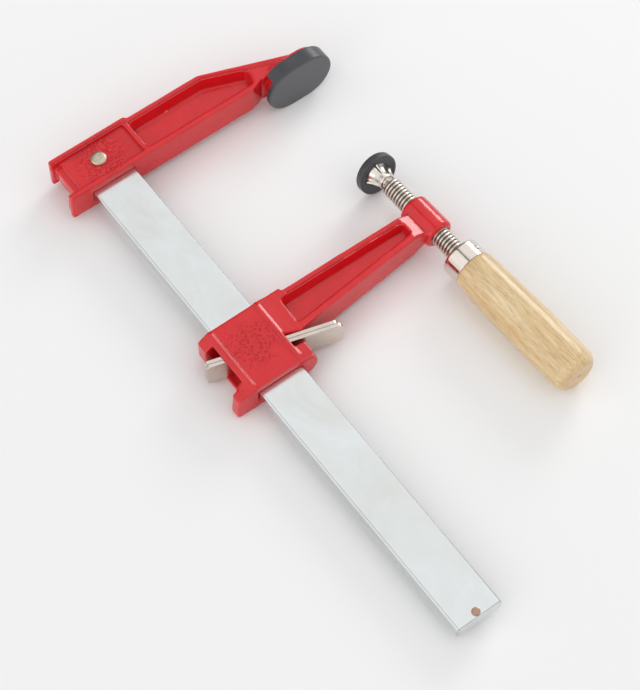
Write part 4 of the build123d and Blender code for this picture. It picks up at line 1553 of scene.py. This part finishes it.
@dataclass
class Studio:
    """Floor, light and camera.

    Attributes:
        floor_slope: Slope of the floor along X and Y, since the clamp lies on three points of unequal height.
        background: Colour of the floor, and of the sky where the camera sees it.
        sky_across: Brightness of the sky by the part of a direction along Y.
        sky_along: The same along X.
    """

    camera_place: Vector = field(default_factory=lambda: Vector((0.8093, -0.5806, 1.4017)))
    camera_target: Vector = field(default_factory=lambda: Vector((0.1815, -0.1180, 0.0)))
    camera_roll: float = radians(-0.34)
    lens_mm: float = 123.8
    floor_height: float = -20.6 * MM
    floor_half: float = 6.0
    floor_slope: Pair = (0.01283, -0.02381)
    background: Colour = (0.939, 0.939, 0.939)
    sky_level: float = 2.1
    sky_across: tuple[Pair, ...] = (
        (-1.0, 0.50), (-0.8, 0.60), (-0.24, 0.60), (-0.17, 0.06), (-0.1, 0.06),
        (-0.03, 0.5), (0.6, 0.56), (0.8, 0.36), (1.0, 0.33),
    )
    sky_along: tuple[Pair, ...] = (
        (-1.0, 0.15), (-0.78, 0.22), (-0.5, 0.92),
        (0.3, 0.92), (0.5, 0.78), (1.0, 0.84),
    )
    boxes: tuple[SoftBox, ...] = (
        SoftBox("soft_box_right", (-0.4, 0.86, 0.36), (0.9, 0.7), 7.5),
        SoftBox("soft_box_left", (0.2, -0.92, 0.5), (1.3, 0.7), 1.5),
    )
    lamp_distance: float = 2.4

    def build_camera(self) -> None:
        """Place the camera as in the photograph."""
        data = bpy.data.cameras.new("camera")
        data.lens = self.lens_mm
        data.sensor_fit = "AUTO"
        data.sensor_width = 36.0
        data.clip_start = 0.05
        data.clip_end = 20.0
        camera = bpy.data.objects.new("camera", data)
        bpy.context.scene.collection.objects.link(camera)
        look = (self.camera_target - self.camera_place).normalized()
        turn = look.to_track_quat("-Z", "Y").to_matrix().to_4x4()
        roll = Matrix.Rotation(self.camera_roll, 4, "Z")
        camera.matrix_world = Matrix.Translation(self.camera_place) @ turn @ roll
        bpy.context.scene.camera = camera

    def build_floor(self) -> None:
        """Lay the pale floor that the clamp rests on."""
        half = self.floor_half
        slope_x, slope_y = self.floor_slope
        places = ((-half, -half), (half, -half), (half, half), (-half, half))
        corners = [(x, y, self.floor_height + slope_x * x + slope_y * y) for x, y in places]
        mesh = bpy.data.meshes.new("floor")
        mesh.from_pydata(corners, [], [(0, 1, 2, 3)])
        floor = bpy.data.objects.new("floor", mesh)
        bpy.context.scene.collection.objects.link(floor)
        material = bpy.data.materials.new("studio_floor")
        material.use_nodes = True
        shader = material.node_tree.nodes["Principled BSDF"]
        values = {"Base Color": self.background, "Roughness": 0.9, "Specular IOR Level": 0.0}
        Wiring(material.node_tree).fill(shader, values)
        mesh.materials.append(material)

    @staticmethod
    def sky_band(wiring: Wiring, value: Socket, points: Sequence[Pair]) -> Socket:
        """Brightness of the sky by one part of a direction.

        Args:
            wiring: Wiring of the world.
            value: The part, from -1 to 1.
            points: Parts and the brightness at each.

        Returns:
            The brightness socket.
        """
        shifted = wiring.math("MULTIPLY_ADD", value, 0.5, 0.5)
        ramp = wiring.node("ValToRGB", {"Fac": shifted})
        ramp.color_ramp.interpolation = "EASE"
        while len(ramp.color_ramp.elements) < len(points):
            ramp.color_ramp.elements.new(0.5)
        for element, (place, level) in zip(ramp.color_ramp.elements, points):
            element.position = place * 0.5 + 0.5
            element.color = (level, level, level, 1.0)
        return ramp.outputs["Color"]

    def build_world(self) -> None:
        """Build the sky: bright sides, a dark gap, and the plain background for the camera."""
        world = bpy.data.worlds.new("studio")
        bpy.context.scene.world = world
        world.use_nodes = True
        wiring = Wiring(world.node_tree)
        direction = wiring.node("TexCoord", {}).outputs["Generated"]
        parts = wiring.node("SeparateXYZ", {"Vector": direction}).outputs
        across = self.sky_band(wiring, parts["Y"], self.sky_across)
        along = self.sky_band(wiring, parts["X"], self.sky_along)
        level = wiring.math("MULTIPLY", wiring.math("MULTIPLY", across, along), self.sky_level)
        camera_ray = wiring.node("LightPath", {}).outputs["Is Camera Ray"]
        strength = wiring.mix(camera_ray, level, self.background[0], data="FLOAT")
        wiring.fill(world.node_tree.nodes["Background"], {"Color": (1.0, 1.0, 1.0), "Strength": strength})

    def build_lamp(self, box: SoftBox) -> None:
        """Add one soft box.

        Args:
            box: Its name, direction, size and brightness.
        """
        data = bpy.data.lights.new(box.name, "AREA")
        data.shape = "RECTANGLE"
        data.size, data.size_y = box.size
        data.energy = box.radiance * pi * box.size[0] * box.size[1]
        lamp = bpy.data.objects.new(box.name, data)
        bpy.context.scene.collection.objects.link(lamp)
        towards = Vector(box.towards)
        lamp.location = self.camera_target + towards.normalized() * self.lamp_distance
        lamp.rotation_euler = towards.to_track_quat("Z", "Y").to_euler()

    def build(self) -> None:
        """Build the whole studio."""
        self.build_camera()
        self.build_floor()
        self.build_world()
        for box in self.boxes:
            self.build_lamp(box)
        bpy.context.scene.view_settings.view_transform = "Standard"


def main() -> None:
    """Build the clamp and its studio."""
    logging.basicConfig(level=logging.INFO, format="%(message)s")
    Studio().build()
    palette = Palette()
    spindle = Spindle(palette)
    for maker in (Castings(palette), BarAndPlates(palette), spindle, Pads(palette, spindle)):
        for piece in maker.build():
            log.info("%s: %s has %d faces", type(maker).__name__, piece.name, len(piece.data.polygons))


if __name__ == "__main__":
    main()
